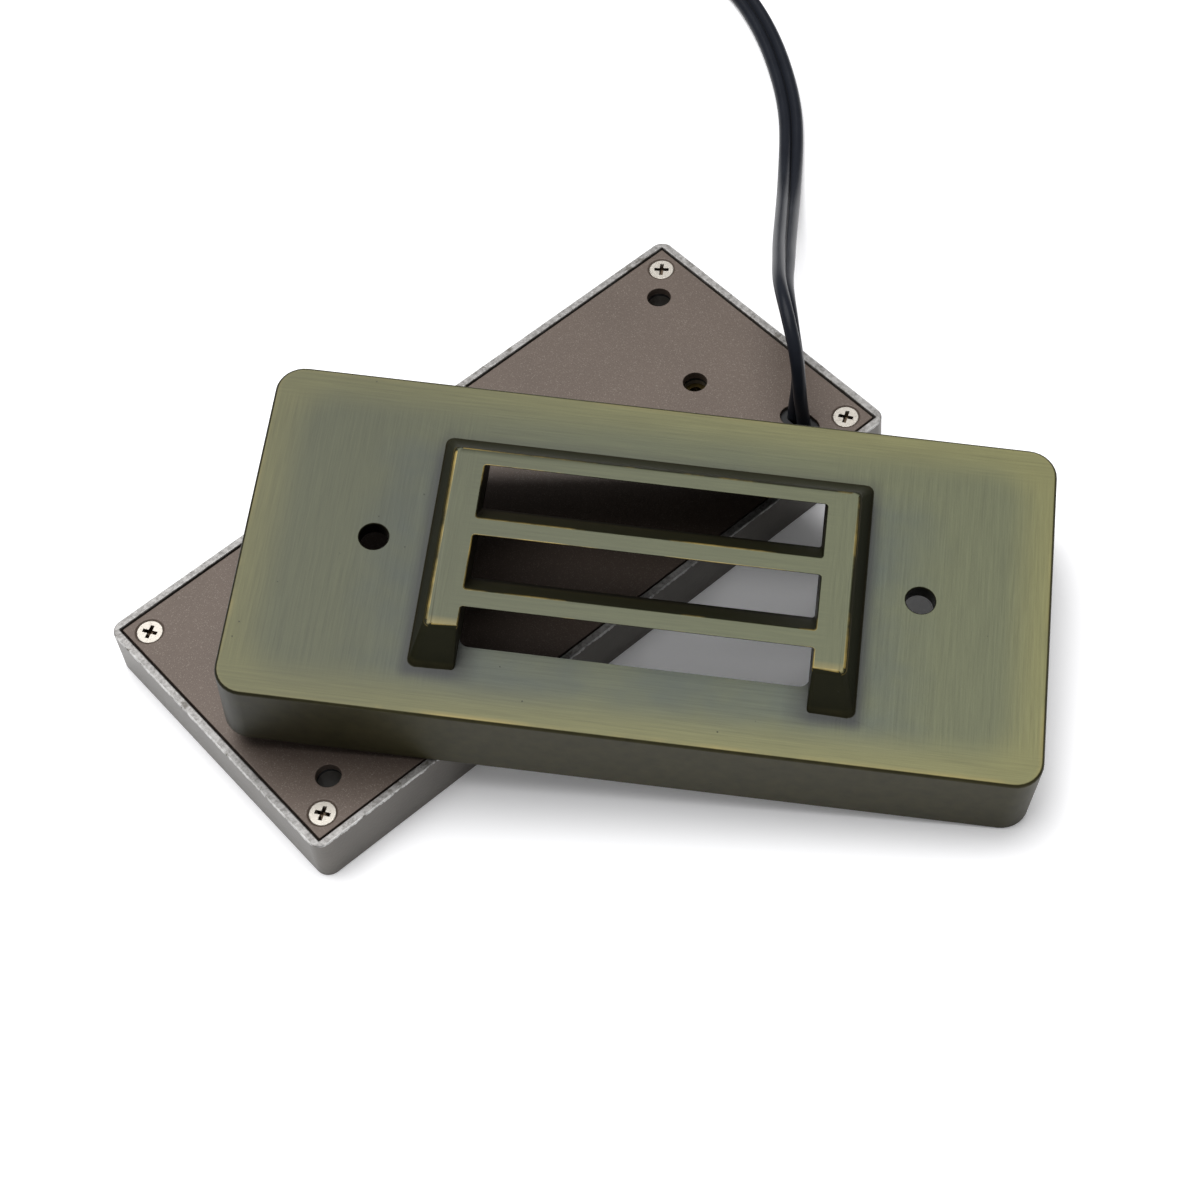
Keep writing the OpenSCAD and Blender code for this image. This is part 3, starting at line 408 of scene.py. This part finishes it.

    # Dark casting skin of the walls, darker on the hood, with painted shade that darkens it
    # towards the left end and nearly to black inside the cover. Then small pits all over
    cast = put(tree, "ShaderNodeTexNoise", {"Vector": mm, "Scale": 0.4, "Detail": 6.0}).outputs[0]
    wall = put(tree, "ShaderNodeMix", {0: cast, 6: colour("#211F10"), 7: colour("#37341F")},
               data_type="RGBA").outputs[2]
    # Painted shade: the walls darker towards the cover's left end
    painted_shade_left_end = put(tree, "ShaderNodeMapRange", {0: xyz.outputs["X"], 1: -80.0, 2: -45.0,
                   3: 0.65, 4: 1.2}).outputs[0]
    wall = put(tree, "ShaderNodeVectorMath", {0: wall, "Scale": painted_shade_left_end},
               operation="SCALE").outputs[0]
    raised = put(tree, "ShaderNodeMapRange", {0: xyz.outputs["Z"], 1: face_z + 0.3,
                 2: face_z + 1.5, 3: 0.0, 4: 0.8}).outputs[0]
    # Painted shade: nearly black on the inside of the cover, below its face
    painted_shade_inside = put(tree, "ShaderNodeMapRange", {0: outline, 1: corner_r - 0.7,
                  2: corner_r - 0.9}).outputs[0]
    below = put(tree, "ShaderNodeMapRange", {0: xyz.outputs["Z"], 1: face_z + 1.0,
                2: face_z - 0.5, 3: 0.0, 4: 0.9}).outputs[0]
    painted_shade_inside = put(tree, "ShaderNodeMath", {0: painted_shade_inside, 1: below}, operation="MULTIPLY").outputs[0]
    for share, over in ((raised, "#1B1C10"), (painted_shade_inside, "#0B0B07")):
        wall = put(tree, "ShaderNodeMix", {0: share, 6: wall, 7: colour(over)},
                   data_type="RGBA").outputs[2]
    tone = put(tree, "ShaderNodeMix", {0: brushed, 6: wall, 7: tone}, data_type="RGBA").outputs[2]
    pits = put(tree, "ShaderNodeTexVoronoi", {"Vector": mm, "Scale": 0.16}).outputs["Distance"]
    pits = put(tree, "ShaderNodeMapRange", {0: pits, 1: 0.035, 2: 0.015}).outputs[0]
    tone = put(tree, "ShaderNodeMix", {0: pits, 6: tone, 7: colour("#2A2B22")},
               data_type="RGBA").outputs[2]

    # Bare brass, most of it along the front. On the edges: a thin line round the hood's
    # openings, full at the legs' ends, and pieces of one along the outline, which is nearly
    # black otherwise. On the face: patches in the last millimetres before the outline, and
    # the ends of the legs
    patch = put(tree, "ShaderNodeTexNoise", {"Vector": mm, "Scale": 0.045, "Detail": 7.0,
                "Roughness": 0.6}).outputs[0]
    front = put(tree, "ShaderNodeMapRange", {0: xyz.outputs["Y"], 1: 15.0, 2: -30.0, 3: 0.3,
                4: 1.0}).outputs[0]
    if on_edge:
        dark_line = put(tree, "ShaderNodeMapRange", {0: outline, 1: corner_r - 2.0,
                        2: corner_r - 1.0}).outputs[0]
        tone = put(tree, "ShaderNodeMix", {0: dark_line, 6: tone, 7: colour("#1A1A10")},
                   data_type="RGBA").outputs[2]
        line = put(tree, "ShaderNodeMapRange", {0: patch, 1: 0.46, 2: 0.62, 3: 0.0,
                   4: 0.7}).outputs[0]
        top_edge = put(tree, "ShaderNodeMapRange", {0: xyz.outputs["Z"], 1: hood_z - 0.5,
                       2: hood_z - 0.1}).outputs[0]
        leg_end = put(tree, "ShaderNodeMapRange", {0: xyz.outputs["Y"], 1: -22.0,
                      2: -23.0}).outputs[0]
        line = put(tree, "ShaderNodeMath", {0: line, 1: leg_end}, operation="MAXIMUM").outputs[0]
        line = put(tree, "ShaderNodeMath", {0: line, 1: top_edge}, operation="MULTIPLY").outputs[0]
        upper = put(tree, "ShaderNodeMapRange", {0: xyz.outputs["Z"], 1: face_z - 1.2,
                    2: face_z - 0.6}).outputs[0]
        pieces = put(tree, "ShaderNodeMapRange", {0: patch, 1: 0.5, 2: 0.62, 3: 0.0,
                     4: 0.7}).outputs[0]
        for share in (dark_line, front, upper):
            pieces = put(tree, "ShaderNodeMath", {0: pieces, 1: share},
                         operation="MULTIPLY").outputs[0]
        bare = put(tree, "ShaderNodeMath", {0: line, 1: pieces}, operation="MAXIMUM").outputs[0]
    else:
        last_mm = put(tree, "ShaderNodeMapRange", {0: outline, 1: corner_r - 1.8, 2: corner_r},
                      interpolation_type="SMOOTHSTEP").outputs[0]
        bare = put(tree, "ShaderNodeMapRange", {0: patch, 1: 0.46, 2: 0.64, 3: 0.04,
                   4: 0.5}).outputs[0]
        for share in (last_mm, front):
            bare = put(tree, "ShaderNodeMath", {0: bare, 1: share},
                       operation="MULTIPLY").outputs[0]
        on_hood = put(tree, "ShaderNodeMapRange", {0: xyz.outputs["Z"], 1: hood_z - 1.8,
                      2: hood_z - 0.8}).outputs[0]
        leg_end = put(tree, "ShaderNodeMapRange", {0: xyz.outputs["Y"], 1: -20.5, 2: -24.0,
                      3: 0.0, 4: 0.6}).outputs[0]
        leg_end = put(tree, "ShaderNodeMath", {0: leg_end, 1: on_hood},
                      operation="MULTIPLY").outputs[0]
        bare = put(tree, "ShaderNodeMath", {0: bare, 1: leg_end}, operation="MAXIMUM").outputs[0]
        bare = put(tree, "ShaderNodeMath", {0: bare, 1: brushed}, operation="MULTIPLY").outputs[0]
    tone = put(tree, "ShaderNodeMix", {0: bare, 6: tone, 7: colour("#A28C4C")},
               data_type="RGBA").outputs[2]
    tree.links.new(tone, shader.inputs["Base Color"])
    sheen = put(tree, "ShaderNodeMapRange", {0: brushed, 3: 0.15, 4: 0.5}).outputs[0]
    tree.links.new(sheen, shader.inputs["Specular IOR Level"])
    relief = put(tree, "ShaderNodeMath", {0: marks, 1: brushed}, operation="MULTIPLY").outputs[0]
    relief = put(tree, "ShaderNodeMath", {0: relief, 1: pits}, operation="SUBTRACT").outputs[0]
    bump = put(tree, "ShaderNodeBump", {"Height": relief, "Strength": 0.35,
               "Distance": relief_h})
    tree.links.new(bump.outputs[0], shader.inputs["Normal"])
    return made


def on_cover(edge):
    """The two ends of an edge, in mm in the cover's own frame."""
    turn_back = cover_turn.to_matrix().inverted()
    return [(turn_back @ (vert.co - Vector(cover_centre))) * 1000 for vert in edge.verts]


def outside_cover(edge):
    """Whether an edge is on the hood's outside, round its upper openings, on the face or
    round the skirt, and not round the opening below the blades."""
    opening_half_l, opening_y, near, hood_upper_y, hood_edge_h = 36.6, (-31.0, -8.0), 0.3, 21.0, 0.2
    ends = on_cover(edge)
    if all(abs(end.x) < opening_half_l and end.z < face_z + near
           and opening_y[0] < end.y < opening_y[1] for end in ends):
        return False
    for end in ends:
        past = Vector((max(abs(end.x) - (half_l - corner_r), 0.0),
                       max(abs(end.y) - (half_w - corner_r), 0.0)))
        hood = end.z > face_z - near and (abs(end.x) > openings_half_l or end.y > hood_upper_y)
        face = face_z - near < end.z < face_z + near
        if not (hood or face or end.z > hood_z - hood_edge_h or past.length > corner_r - near):
            return False
    return True


def leg_corner(edge):
    """Whether an edge runs up one of the hood's two legs."""
    least_rise, face_reach, legs_y = 4.0, 1.0, -15.0
    ends = on_cover(edge)
    return (abs(ends[0].z - ends[1].z) > least_rise
            and min(end.z for end in ends) > face_z - face_reach
            and max(end.y for end in ends) < legs_y)


cover = rounded_copy("cover", "cast_cover", width=0.3, angle=28, where=outside_cover,
                     edge_slot=1, rounder=0.8, rounder_edge=leg_corner)
cover.data.materials.append(aged_brass("aged_brass", on_edge=False))
cover.data.materials.append(aged_brass("worn_brass_edge", on_edge=True))
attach(cover, "cover_body")
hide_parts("cover")


# Housing: die-cast aluminium tray, painted satin grey. Its rim was ground flat after
# painting, so bare metal shows there with a ragged edge and small chips.
tray_half_l, tray_half_w, rim_w, rim_z = 79.5, 37.2, 1.75, 12.0
# How far inside its outline, in mm, the plate begins to hide it
hidden_from = 2.2


def round_the_tray(edge):
    """Whether an edge is on the tray's outside or its rim, and not where the plate hides it."""
    return all(max(abs(vert.co.x) * 1000 - tray_half_l, abs(vert.co.y) * 1000 - tray_half_w)
               > -hidden_from for vert in edge.verts)


def in_mm(tree):
    """The point that is being shaded, in mm in the part's frame."""
    here = put(tree, "ShaderNodeTexCoord").outputs["Object"]
    return put(tree, "ShaderNodeVectorMath", {0: here, "Scale": 1000.0},
               operation="SCALE").outputs[0]


housing = rounded_copy("housing", "die_cast_housing", width=0.25, angle=40, where=round_the_tray)
painted, tree, shader = material("painted_die_casting", Roughness=0.4)
mm = in_mm(tree)
xyz = put(tree, "ShaderNodeSeparateXYZ", {0: mm})
size = put(tree, "ShaderNodeVectorMath", {0: mm}, operation="ABSOLUTE").outputs[0]
outer = put(tree, "ShaderNodeSeparateXYZ", {0: size})
past_x = put(tree, "ShaderNodeMath", {0: outer.outputs["X"], 1: tray_half_l},
             operation="SUBTRACT").outputs[0]
past_y = put(tree, "ShaderNodeMath", {0: outer.outputs["Y"], 1: tray_half_w},
             operation="SUBTRACT").outputs[0]
inward = put(tree, "ShaderNodeMath", {0: past_x, 1: past_y}, operation="MAXIMUM").outputs[0]
# Ground metal: the rim's width, down to a ragged line in its upper edge
ragged = put(tree, "ShaderNodeTexNoise", {"Vector": mm, "Scale": 0.35, "Detail": 6.0,
             "Roughness": 0.7}).outputs[0]
level = put(tree, "ShaderNodeMapRange", {0: ragged, 1: 0.3, 2: 0.7, 3: -0.6, 4: 0.6}).outputs[0]
height = put(tree, "ShaderNodeMath", {0: xyz.outputs["Z"], 1: level}, operation="ADD").outputs[0]
ground = put(tree, "ShaderNodeMapRange", {0: height, 1: rim_z - 0.45, 2: rim_z - 0.25}).outputs[0]
on_rim = put(tree, "ShaderNodeMapRange", {0: inward, 1: -rim_w - 0.1, 2: -rim_w}).outputs[0]
ground = put(tree, "ShaderNodeMath", {0: ground, 1: on_rim}, operation="MULTIPLY").outputs[0]
# Tones: grey paint, metal with dark chips, and a painted highlight along the rim's outer edge
paint_cloud = put(tree, "ShaderNodeTexNoise", {"Vector": mm, "Scale": 0.08, "Detail": 3.0})
paint = put(tree, "ShaderNodeMix", {0: paint_cloud.outputs[0], 6: colour("#54504B"),
            7: colour("#6C6861")}, data_type="RGBA").outputs[2]
chips = put(tree, "ShaderNodeTexNoise", {"Vector": mm, "Scale": 0.8, "Detail": 6.0,
            "Roughness": 0.8}).outputs[0]
chips = put(tree, "ShaderNodeMapRange", {0: chips, 1: 0.4, 2: 0.68}).outputs[0]
metal = put(tree, "ShaderNodeMix", {0: chips, 6: colour("#9E9C9A"), 7: colour("#5A5754")},
            data_type="RGBA").outputs[2]
# Painted highlight: a near-white line where the rim's outer edge rounds over
painted_highlight_lip = put(tree, "ShaderNodeMapRange", {0: inward, 1: -0.55, 2: -0.15}).outputs[0]
painted_highlight_lip = put(tree, "ShaderNodeMath", {0: painted_highlight_lip, 1: ragged}, operation="MULTIPLY").outputs[0]
painted_highlight_lip = put(tree, "ShaderNodeMapRange", {0: painted_highlight_lip, 1: 0.3, 2: 0.6}).outputs[0]
metal = put(tree, "ShaderNodeMix", {0: painted_highlight_lip, 6: metal, 7: colour("#D2D1CF")},
            data_type="RGBA").outputs[2]
tone = put(tree, "ShaderNodeMix", {0: ground, 6: paint, 7: metal}, data_type="RGBA").outputs[2]
tree.links.new(tone, shader.inputs["Base Color"])
metallic = put(tree, "ShaderNodeMapRange", {0: ground, 3: 0.3, 4: 0.35}).outputs[0]
tree.links.new(metallic, shader.inputs["Metallic"])
# Relief: orange peel in the paint, grinding scratches in the metal
peel = put(tree, "ShaderNodeTexNoise", {"Vector": mm, "Scale": 1.6, "Detail": 3.0}).outputs[0]
scratch = put(tree, "ShaderNodeMapping", {"Vector": mm, "Scale": (0.4, 0.4, 3.0)}).outputs[0]
scratch = put(tree, "ShaderNodeTexNoise", {"Vector": scratch, "Scale": 3.0,
              "Detail": 5.0}).outputs[0]
relief = put(tree, "ShaderNodeMix", {0: ground, 2: peel, 3: scratch}).outputs[0]
bump = put(tree, "ShaderNodeBump", {"Height": relief, "Strength": 0.35,
           "Distance": 1.5 * relief_h})
tree.links.new(bump.outputs[0], shader.inputs["Normal"])
housing.data.materials.append(painted)
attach(housing, "engine")
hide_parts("housing")


# Back plate: aluminium with a warm grey powder coat with fine metallic flakes, their sparkle
# painted as lighter flecks. Its edges are a little rounded by the coat.
plate = rounded_copy("back_plate", "back_cover_plate", width=0.15, angle=40)
powder, tree, shader = material("taupe_powder_coat", Roughness=0.48, Metallic=0.25)
mm = in_mm(tree)
flakes = put(tree, "ShaderNodeTexVoronoi", {"Vector": mm, "Scale": 6.0})
glint = put(tree, "ShaderNodeSeparateColor", {0: flakes.outputs["Color"]}).outputs[0]
glint_low = put(tree, "ShaderNodeMapRange", {0: glint, 1: 0.0, 2: 0.9, 3: 0.92,
                4: 1.06}).outputs[0]
# Painted glints: the brightest flakes are lighter in colour
painted_sparkle = put(tree, "ShaderNodeMapRange", {0: glint, 1: 0.9, 2: 0.97}).outputs[0]
cloud = put(tree, "ShaderNodeTexNoise", {"Vector": mm, "Scale": 0.05, "Detail": 3.0}).outputs[0]
tone = put(tree, "ShaderNodeMix", {0: cloud, 6: colour("#52463E"), 7: colour("#5D5047")},
           data_type="RGBA").outputs[2]
tone = put(tree, "ShaderNodeVectorMath", {0: tone, "Scale": glint_low},
           operation="SCALE").outputs[0]
tone = put(tree, "ShaderNodeMix", {0: painted_sparkle, 6: tone, 7: colour("#6F655C")},
           data_type="RGBA").outputs[2]
tree.links.new(tone, shader.inputs["Base Color"])
grain = put(tree, "ShaderNodeTexNoise", {"Vector": mm, "Scale": 2.4, "Detail": 4.0}).outputs[0]
bump = put(tree, "ShaderNodeBump", {"Height": grain, "Strength": 0.4, "Distance": relief_h})
tree.links.new(bump.outputs[0], shader.inputs["Normal"])
plate.data.materials.append(powder)
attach(plate, "engine")
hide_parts("back_plate")


# Plate screws: M3 stainless countersunk screws with a cross recess, their heads a hair
# below the plate's face, each stopped at its own angle.
screw_at = (73.2, 30.6)
head_r, shank_r, head_top, head_h, screw_l = 2.83, 1.5, 11.6, 1.45, 8.0
edge_in, edge_mid, edge_mid_low, edge_low = 0.12, 0.03, 0.04, 0.13
tip_cut, lathe_steps, lathe_weld = 0.3, 40, 1e-6
turned_part = bmesh.new()
profile = [(0, 0), (head_r - edge_in, 0), (head_r - edge_mid, -edge_mid_low), (head_r, -edge_low),
           (shank_r, -head_h), (shank_r, -screw_l + tip_cut), (shank_r - tip_cut, -screw_l),
           (0, -screw_l)]
verts = [turned_part.verts.new((x / 1000, 0, z / 1000)) for x, z in profile]
edges = [turned_part.edges.new(pair) for pair in zip(verts, verts[1:])]
bmesh.ops.spin(turned_part, geom=verts + edges, cent=(0, 0, 0), axis=(0, 0, 1),
               angle=2 * math.pi, steps=lathe_steps)
bmesh.ops.remove_doubles(turned_part, verts=turned_part.verts, dist=lathe_weld)
bmesh.ops.recalc_face_normals(turned_part, faces=turned_part.faces)
screw = bpy.data.objects.new("screw_blank", bpy.data.meshes.new("screw_blank"))
turned_part.to_mesh(screw.data)
turned_part.free()

# The driver's tip that leaves the recess: two crossed wings, narrower at their low end
driver_tip = bmesh.new()
wing, wing_low, thick, thick_low, deep, above_head, flare = 1.7, 0.9, 0.46, 0.3, 1.3, 0.2, 0.1
for turn in (0, 90):
    spin = Matrix.Rotation(math.radians(turn), 3, "Z")
    corners = []
    for z, w, t in ((above_head, wing + flare, thick), (-deep, wing_low, thick_low)):
        for x, y in ((-w, -t), (w, -t), (w, t), (-w, t)):
            corners.append(driver_tip.verts.new(spin @ Vector((x, y, z)) / 1000))
    a, b = corners[:4], corners[4:]
    for quad in (a, b[::-1], *((a[i], b[i], b[(i + 1) % 4], a[(i + 1) % 4]) for i in range(4))):
        driver_tip.faces.new(quad)
bmesh.ops.recalc_face_normals(driver_tip, faces=driver_tip.faces)
wing_shape = bpy.data.objects.new("driver_tip", bpy.data.meshes.new("driver_tip"))
driver_tip.to_mesh(wing_shape.data)
driver_tip.free()
for made in (screw, wing_shape):
    scene.collection.objects.link(made)
recess = screw.modifiers.new("recess", "BOOLEAN")
recess.object = wing_shape
recess.solver = "EXACT"
recess.use_self = True

# Bright on top, brown and darker down in the recess, with a ragged border
stainless, tree, shader = material("stainless_screw", Metallic=1.0, Roughness=0.4)
mm = in_mm(tree)
height = put(tree, "ShaderNodeSeparateXYZ", {0: mm}).outputs["Z"]
recess_border_noise = put(tree, "ShaderNodeTexNoise", {"Vector": mm, "Scale": 1.6, "Detail": 5.0}).outputs[0]
recess_border_noise = put(tree, "ShaderNodeMapRange", {0: recess_border_noise, 1: 0.35, 2: 0.7, 3: -0.25, 4: 0.35}).outputs[0]
depth = put(tree, "ShaderNodeMath", {0: height, 1: recess_border_noise}, operation="ADD").outputs[0]
inside = put(tree, "ShaderNodeMapRange", {0: depth, 1: head_top - 0.15,
             2: head_top - 0.5}).outputs[0]
tone = put(tree, "ShaderNodeMix", {0: inside, 6: colour("#A8A39B"), 7: colour("#55493D")},
           data_type="RGBA").outputs[2]
tree.links.new(tone, shader.inputs["Base Color"])
lathe = put(tree, "ShaderNodeTexNoise", {"Vector": mm, "Scale": 5.0, "Detail": 3.0}).outputs[0]
bump = put(tree, "ShaderNodeBump", {"Height": lathe, "Strength": 0.15, "Distance": relief_h})
tree.links.new(bump.outputs[0], shader.inputs["Normal"])

# Four screws on the corners of a rectangle, turned by 0 to 90 degrees
corners = bpy.data.node_groups.new("screws_in_corners", "GeometryNodeTree")
for name, kind in (("Screw", "NodeSocketObject"), ("Half length", "NodeSocketFloat"),
                   ("Half width", "NodeSocketFloat"), ("Height", "NodeSocketFloat"),
                   ("Finish", "NodeSocketMaterial")):
    corners.interface.new_socket(name, in_out="INPUT", socket_type=kind)
corners.interface.new_socket("Screws", in_out="OUTPUT", socket_type="NodeSocketGeometry")
given = put(corners, "NodeGroupInput")
length = put(corners, "ShaderNodeMath", {0: given.outputs["Half length"], 1: 2.0},
             operation="MULTIPLY")
width = put(corners, "ShaderNodeMath", {0: given.outputs["Half width"], 1: 2.0},
            operation="MULTIPLY")
grid = put(corners, "GeometryNodeMeshGrid", {"Size X": length.outputs[0],
           "Size Y": width.outputs[0], "Vertices X": 2, "Vertices Y": 2})
lift = put(corners, "ShaderNodeCombineXYZ", {"Z": given.outputs["Height"]})
raised = put(corners, "GeometryNodeTransform", {"Geometry": grid.outputs["Mesh"],
             "Translation": lift.outputs[0]})
blank = put(corners, "GeometryNodeObjectInfo", {"Object": given.outputs["Screw"]})
angle = put(corners, "FunctionNodeRandomValue", {0: (0, 0, 0), 1: (0, 0, math.pi / 2),
            "Seed": 11}, data_type="FLOAT_VECTOR")
placed = put(corners, "GeometryNodeInstanceOnPoints", {"Points": raised.outputs[0],
             "Instance": blank.outputs["Geometry"], "Rotation": angle.outputs[0]})
solid = put(corners, "GeometryNodeRealizeInstances", {0: placed.outputs[0]})
finished = put(corners, "GeometryNodeSetMaterial", {"Geometry": solid.outputs[0],
               "Material": given.outputs["Finish"]})
put(corners, "NodeGroupOutput", {0: finished.outputs[0]})


def made_by(tree, name, inputs):
    """The plain mesh that a Geometry Nodes tree makes from the named inputs."""
    carrier = bpy.data.objects.new(name + "_carrier", bpy.data.meshes.new(name + "_carrier"))
    scene.collection.objects.link(carrier)
    modifier = carrier.modifiers.new(name, "NODES")
    modifier.node_group = tree
    for item in tree.interface.items_tree:
        if item.item_type == "SOCKET" and item.in_out == "INPUT":
            modifier[item.identifier] = inputs[item.name]
    bpy.context.view_layer.update()
    evaluated = carrier.evaluated_get(bpy.context.evaluated_depsgraph_get())
    result = bpy.data.objects.new(name, bpy.data.meshes.new_from_object(evaluated))
    bpy.data.objects.remove(carrier)
    scene.collection.objects.link(result)
    return result


screws = made_by(corners, "plate_screws", {
    "Screw": screw, "Half length": screw_at[0] / 1000, "Half width": screw_at[1] / 1000,
    "Height": head_top / 1000, "Finish": stainless})
for spare in (screw, wing_shape):
    bpy.data.objects.remove(spare)
screws.data.shade_flat()
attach(screws, "engine")
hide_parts("back_screws")


# Inside the housing: what a sealed light engine holds. Only the lamps show, through the
# glass of the front, and the brass inserts, deep in the plate's middle holes.
def plain_finish(name, nodes, low, high, scale, strength, **shader_values):
    """A finish for small parts: two close tones in a grain of the given scale and strength."""
    made, tree, shader = material(name, **shader_values)
    grain = put(tree, "ShaderNodeTexNoise", {"Vector": in_mm(tree), "Scale": scale,
                "Detail": 4.0}).outputs[0]
    tone = put(tree, "ShaderNodeMix", {0: grain, 6: colour(low), 7: colour(high)},
               data_type="RGBA").outputs[2]
    tree.links.new(tone, shader.inputs["Base Color"])
    bump = put(tree, "ShaderNodeBump", {"Height": grain, "Strength": strength,
               "Distance": relief_h})
    tree.links.new(bump.outputs[0], shader.inputs["Normal"])
    dress(nodes, made)


plain_finish("black_silicone", ["back_gasket", "column_seals", "lens_seal", "cable_grommet"],
             "#0E0E0F", "#1B1B1C", 1.2, 0.3, Roughness=0.6)
# Painted shade: the inserts' brass is much darker than brass, as they lie deep in their holes
plain_finish("turned_brass_in_painted_shade", ["cover_screw_inserts"], "#40361F", "#5E4F2C", 3.0, 0.5,
             Metallic=1.0, Roughness=0.35)
plain_finish("white_solder_mask", ["led_board"], "#DEDED8", "#F2F2EC", 0.8, 0.1, Roughness=0.35)
plain_finish("yellow_phosphor", ["leds"], "#E9C23B", "#F5DA6E", 2.0, 0.2, Roughness=0.4)
plain_finish("stainless_small_screws",
             ["led_board_screws", "driver_board_screws", "cable_clamp_screws"],
             "#A9A7A2", "#D0CDC7", 4.0, 0.2, Metallic=1.0, Roughness=0.3)
plain_finish("red_wire_jacket", ["led_wire_red"], "#8E1410", "#B5231B", 1.0, 0.1, Roughness=0.4)
plain_finish("black_wire_jacket", ["led_wire_black", "cable_legs"], "#121214", "#222226",
             1.0, 0.1, Roughness=0.4)
plain_finish("green_solder_mask", ["driver_board"], "#0C4A22", "#14693A", 0.5, 0.1, Roughness=0.3)
plain_finish("black_moulding_compound", ["rectifier", "driver_ic"], "#101011", "#232325",
             3.0, 0.4, Roughness=0.55)
plain_finish("sintered_ferrite", ["inductor"], "#2C2C2F", "#45454A", 2.5, 0.5, Roughness=0.5)
plain_finish("yellow_moulding_compound", ["capacitors"], "#B9801C", "#D9A038", 2.0, 0.2,
             Roughness=0.45)
plain_finish("natural_nylon", ["cable_clamp"], "#CFC9B6", "#E3DECD", 1.0, 0.2, Roughness=0.5)

# Toughened soda-lime glass, faintly green
glass, tree, shader = material("toughened_glass", Roughness=0.03, IOR=1.5,
                               Transmission_Weight=1.0)
wave = put(tree, "ShaderNodeTexNoise", {"Vector": in_mm(tree), "Scale": 0.04}).outputs[0]
tone = put(tree, "ShaderNodeMix", {0: wave, 6: colour("#EAF4F2"), 7: colour("#F6FBFA")},
           data_type="RGBA").outputs[2]
tree.links.new(tone, shader.inputs["Base Color"])
dress(["lens"], glass)


# Studio: a white table that runs out of view, one wide soft light above and behind the
# part, and a dim even surround. For the camera the table is lifted to white, less where
# something stands close over it, so that what shows through the openings stays in shade.
table_reach, shade_reach, lift_shaded, lift_open = 6.0, 0.07, 0.04, 0.31
surround, lamp_size, lamp_power, lamp_at = 0.28, 2.2, 72.0, (0.0, 0.55, 2.3)
table_top = bpy.data.objects.new("white_table", bpy.data.meshes.new("white_table"))
signs = [(-1, -1, 0), (1, -1, 0), (1, 1, 0), (-1, 1, 0)]
table_top.data.from_pydata([Vector(sign) * table_reach for sign in signs], [], [(0, 1, 2, 3)])
scene.collection.objects.link(table_top)
white, tree, shader = material("white_table_top", Roughness=0.9)
shader.inputs["Base Color"].default_value = colour("#FAFAFC")
light_path = put(tree, "ShaderNodeLightPath")
seen = light_path.outputs["Is Camera Ray"]
for ray in ("Is Glossy Ray", "Is Transmission Ray"):
    seen = put(tree, "ShaderNodeMath", {0: seen, 1: light_path.outputs[ray]},
               operation="MAXIMUM").outputs[0]
open_sky = put(tree, "ShaderNodeAmbientOcclusion", {"Distance": shade_reach},
               samples=16).outputs["AO"]
lift = put(tree, "ShaderNodeMapRange", {0: open_sky, 1: 0.1, 2: 0.95, 3: lift_shaded,
           4: lift_open}).outputs[0]
lifted = put(tree, "ShaderNodeMath", {0: seen, 1: lift}, operation="MULTIPLY").outputs[0]
shader.inputs["Emission Color"].default_value = (1, 1, 1, 1)
tree.links.new(lifted, shader.inputs["Emission Strength"])
table_top.data.materials.append(white)

world = bpy.data.worlds.new("pale_surround")
scene.world = world
world.use_nodes = True
world.node_tree.nodes["Background"].inputs["Color"].default_value = (1.0, 1.0, 1.0, 1.0)
world.node_tree.nodes["Background"].inputs["Strength"].default_value = surround
lamp = bpy.data.objects.new("softbox_behind", bpy.data.lights.new("softbox_behind", "AREA"))
lamp.data.shape = "SQUARE"
lamp.data.size = lamp_size
lamp.data.energy = lamp_power
lamp.location = lamp_at
lamp.rotation_euler = (-lamp.location).to_track_quat("-Z", "Y").to_euler()
scene.collection.objects.link(lamp)
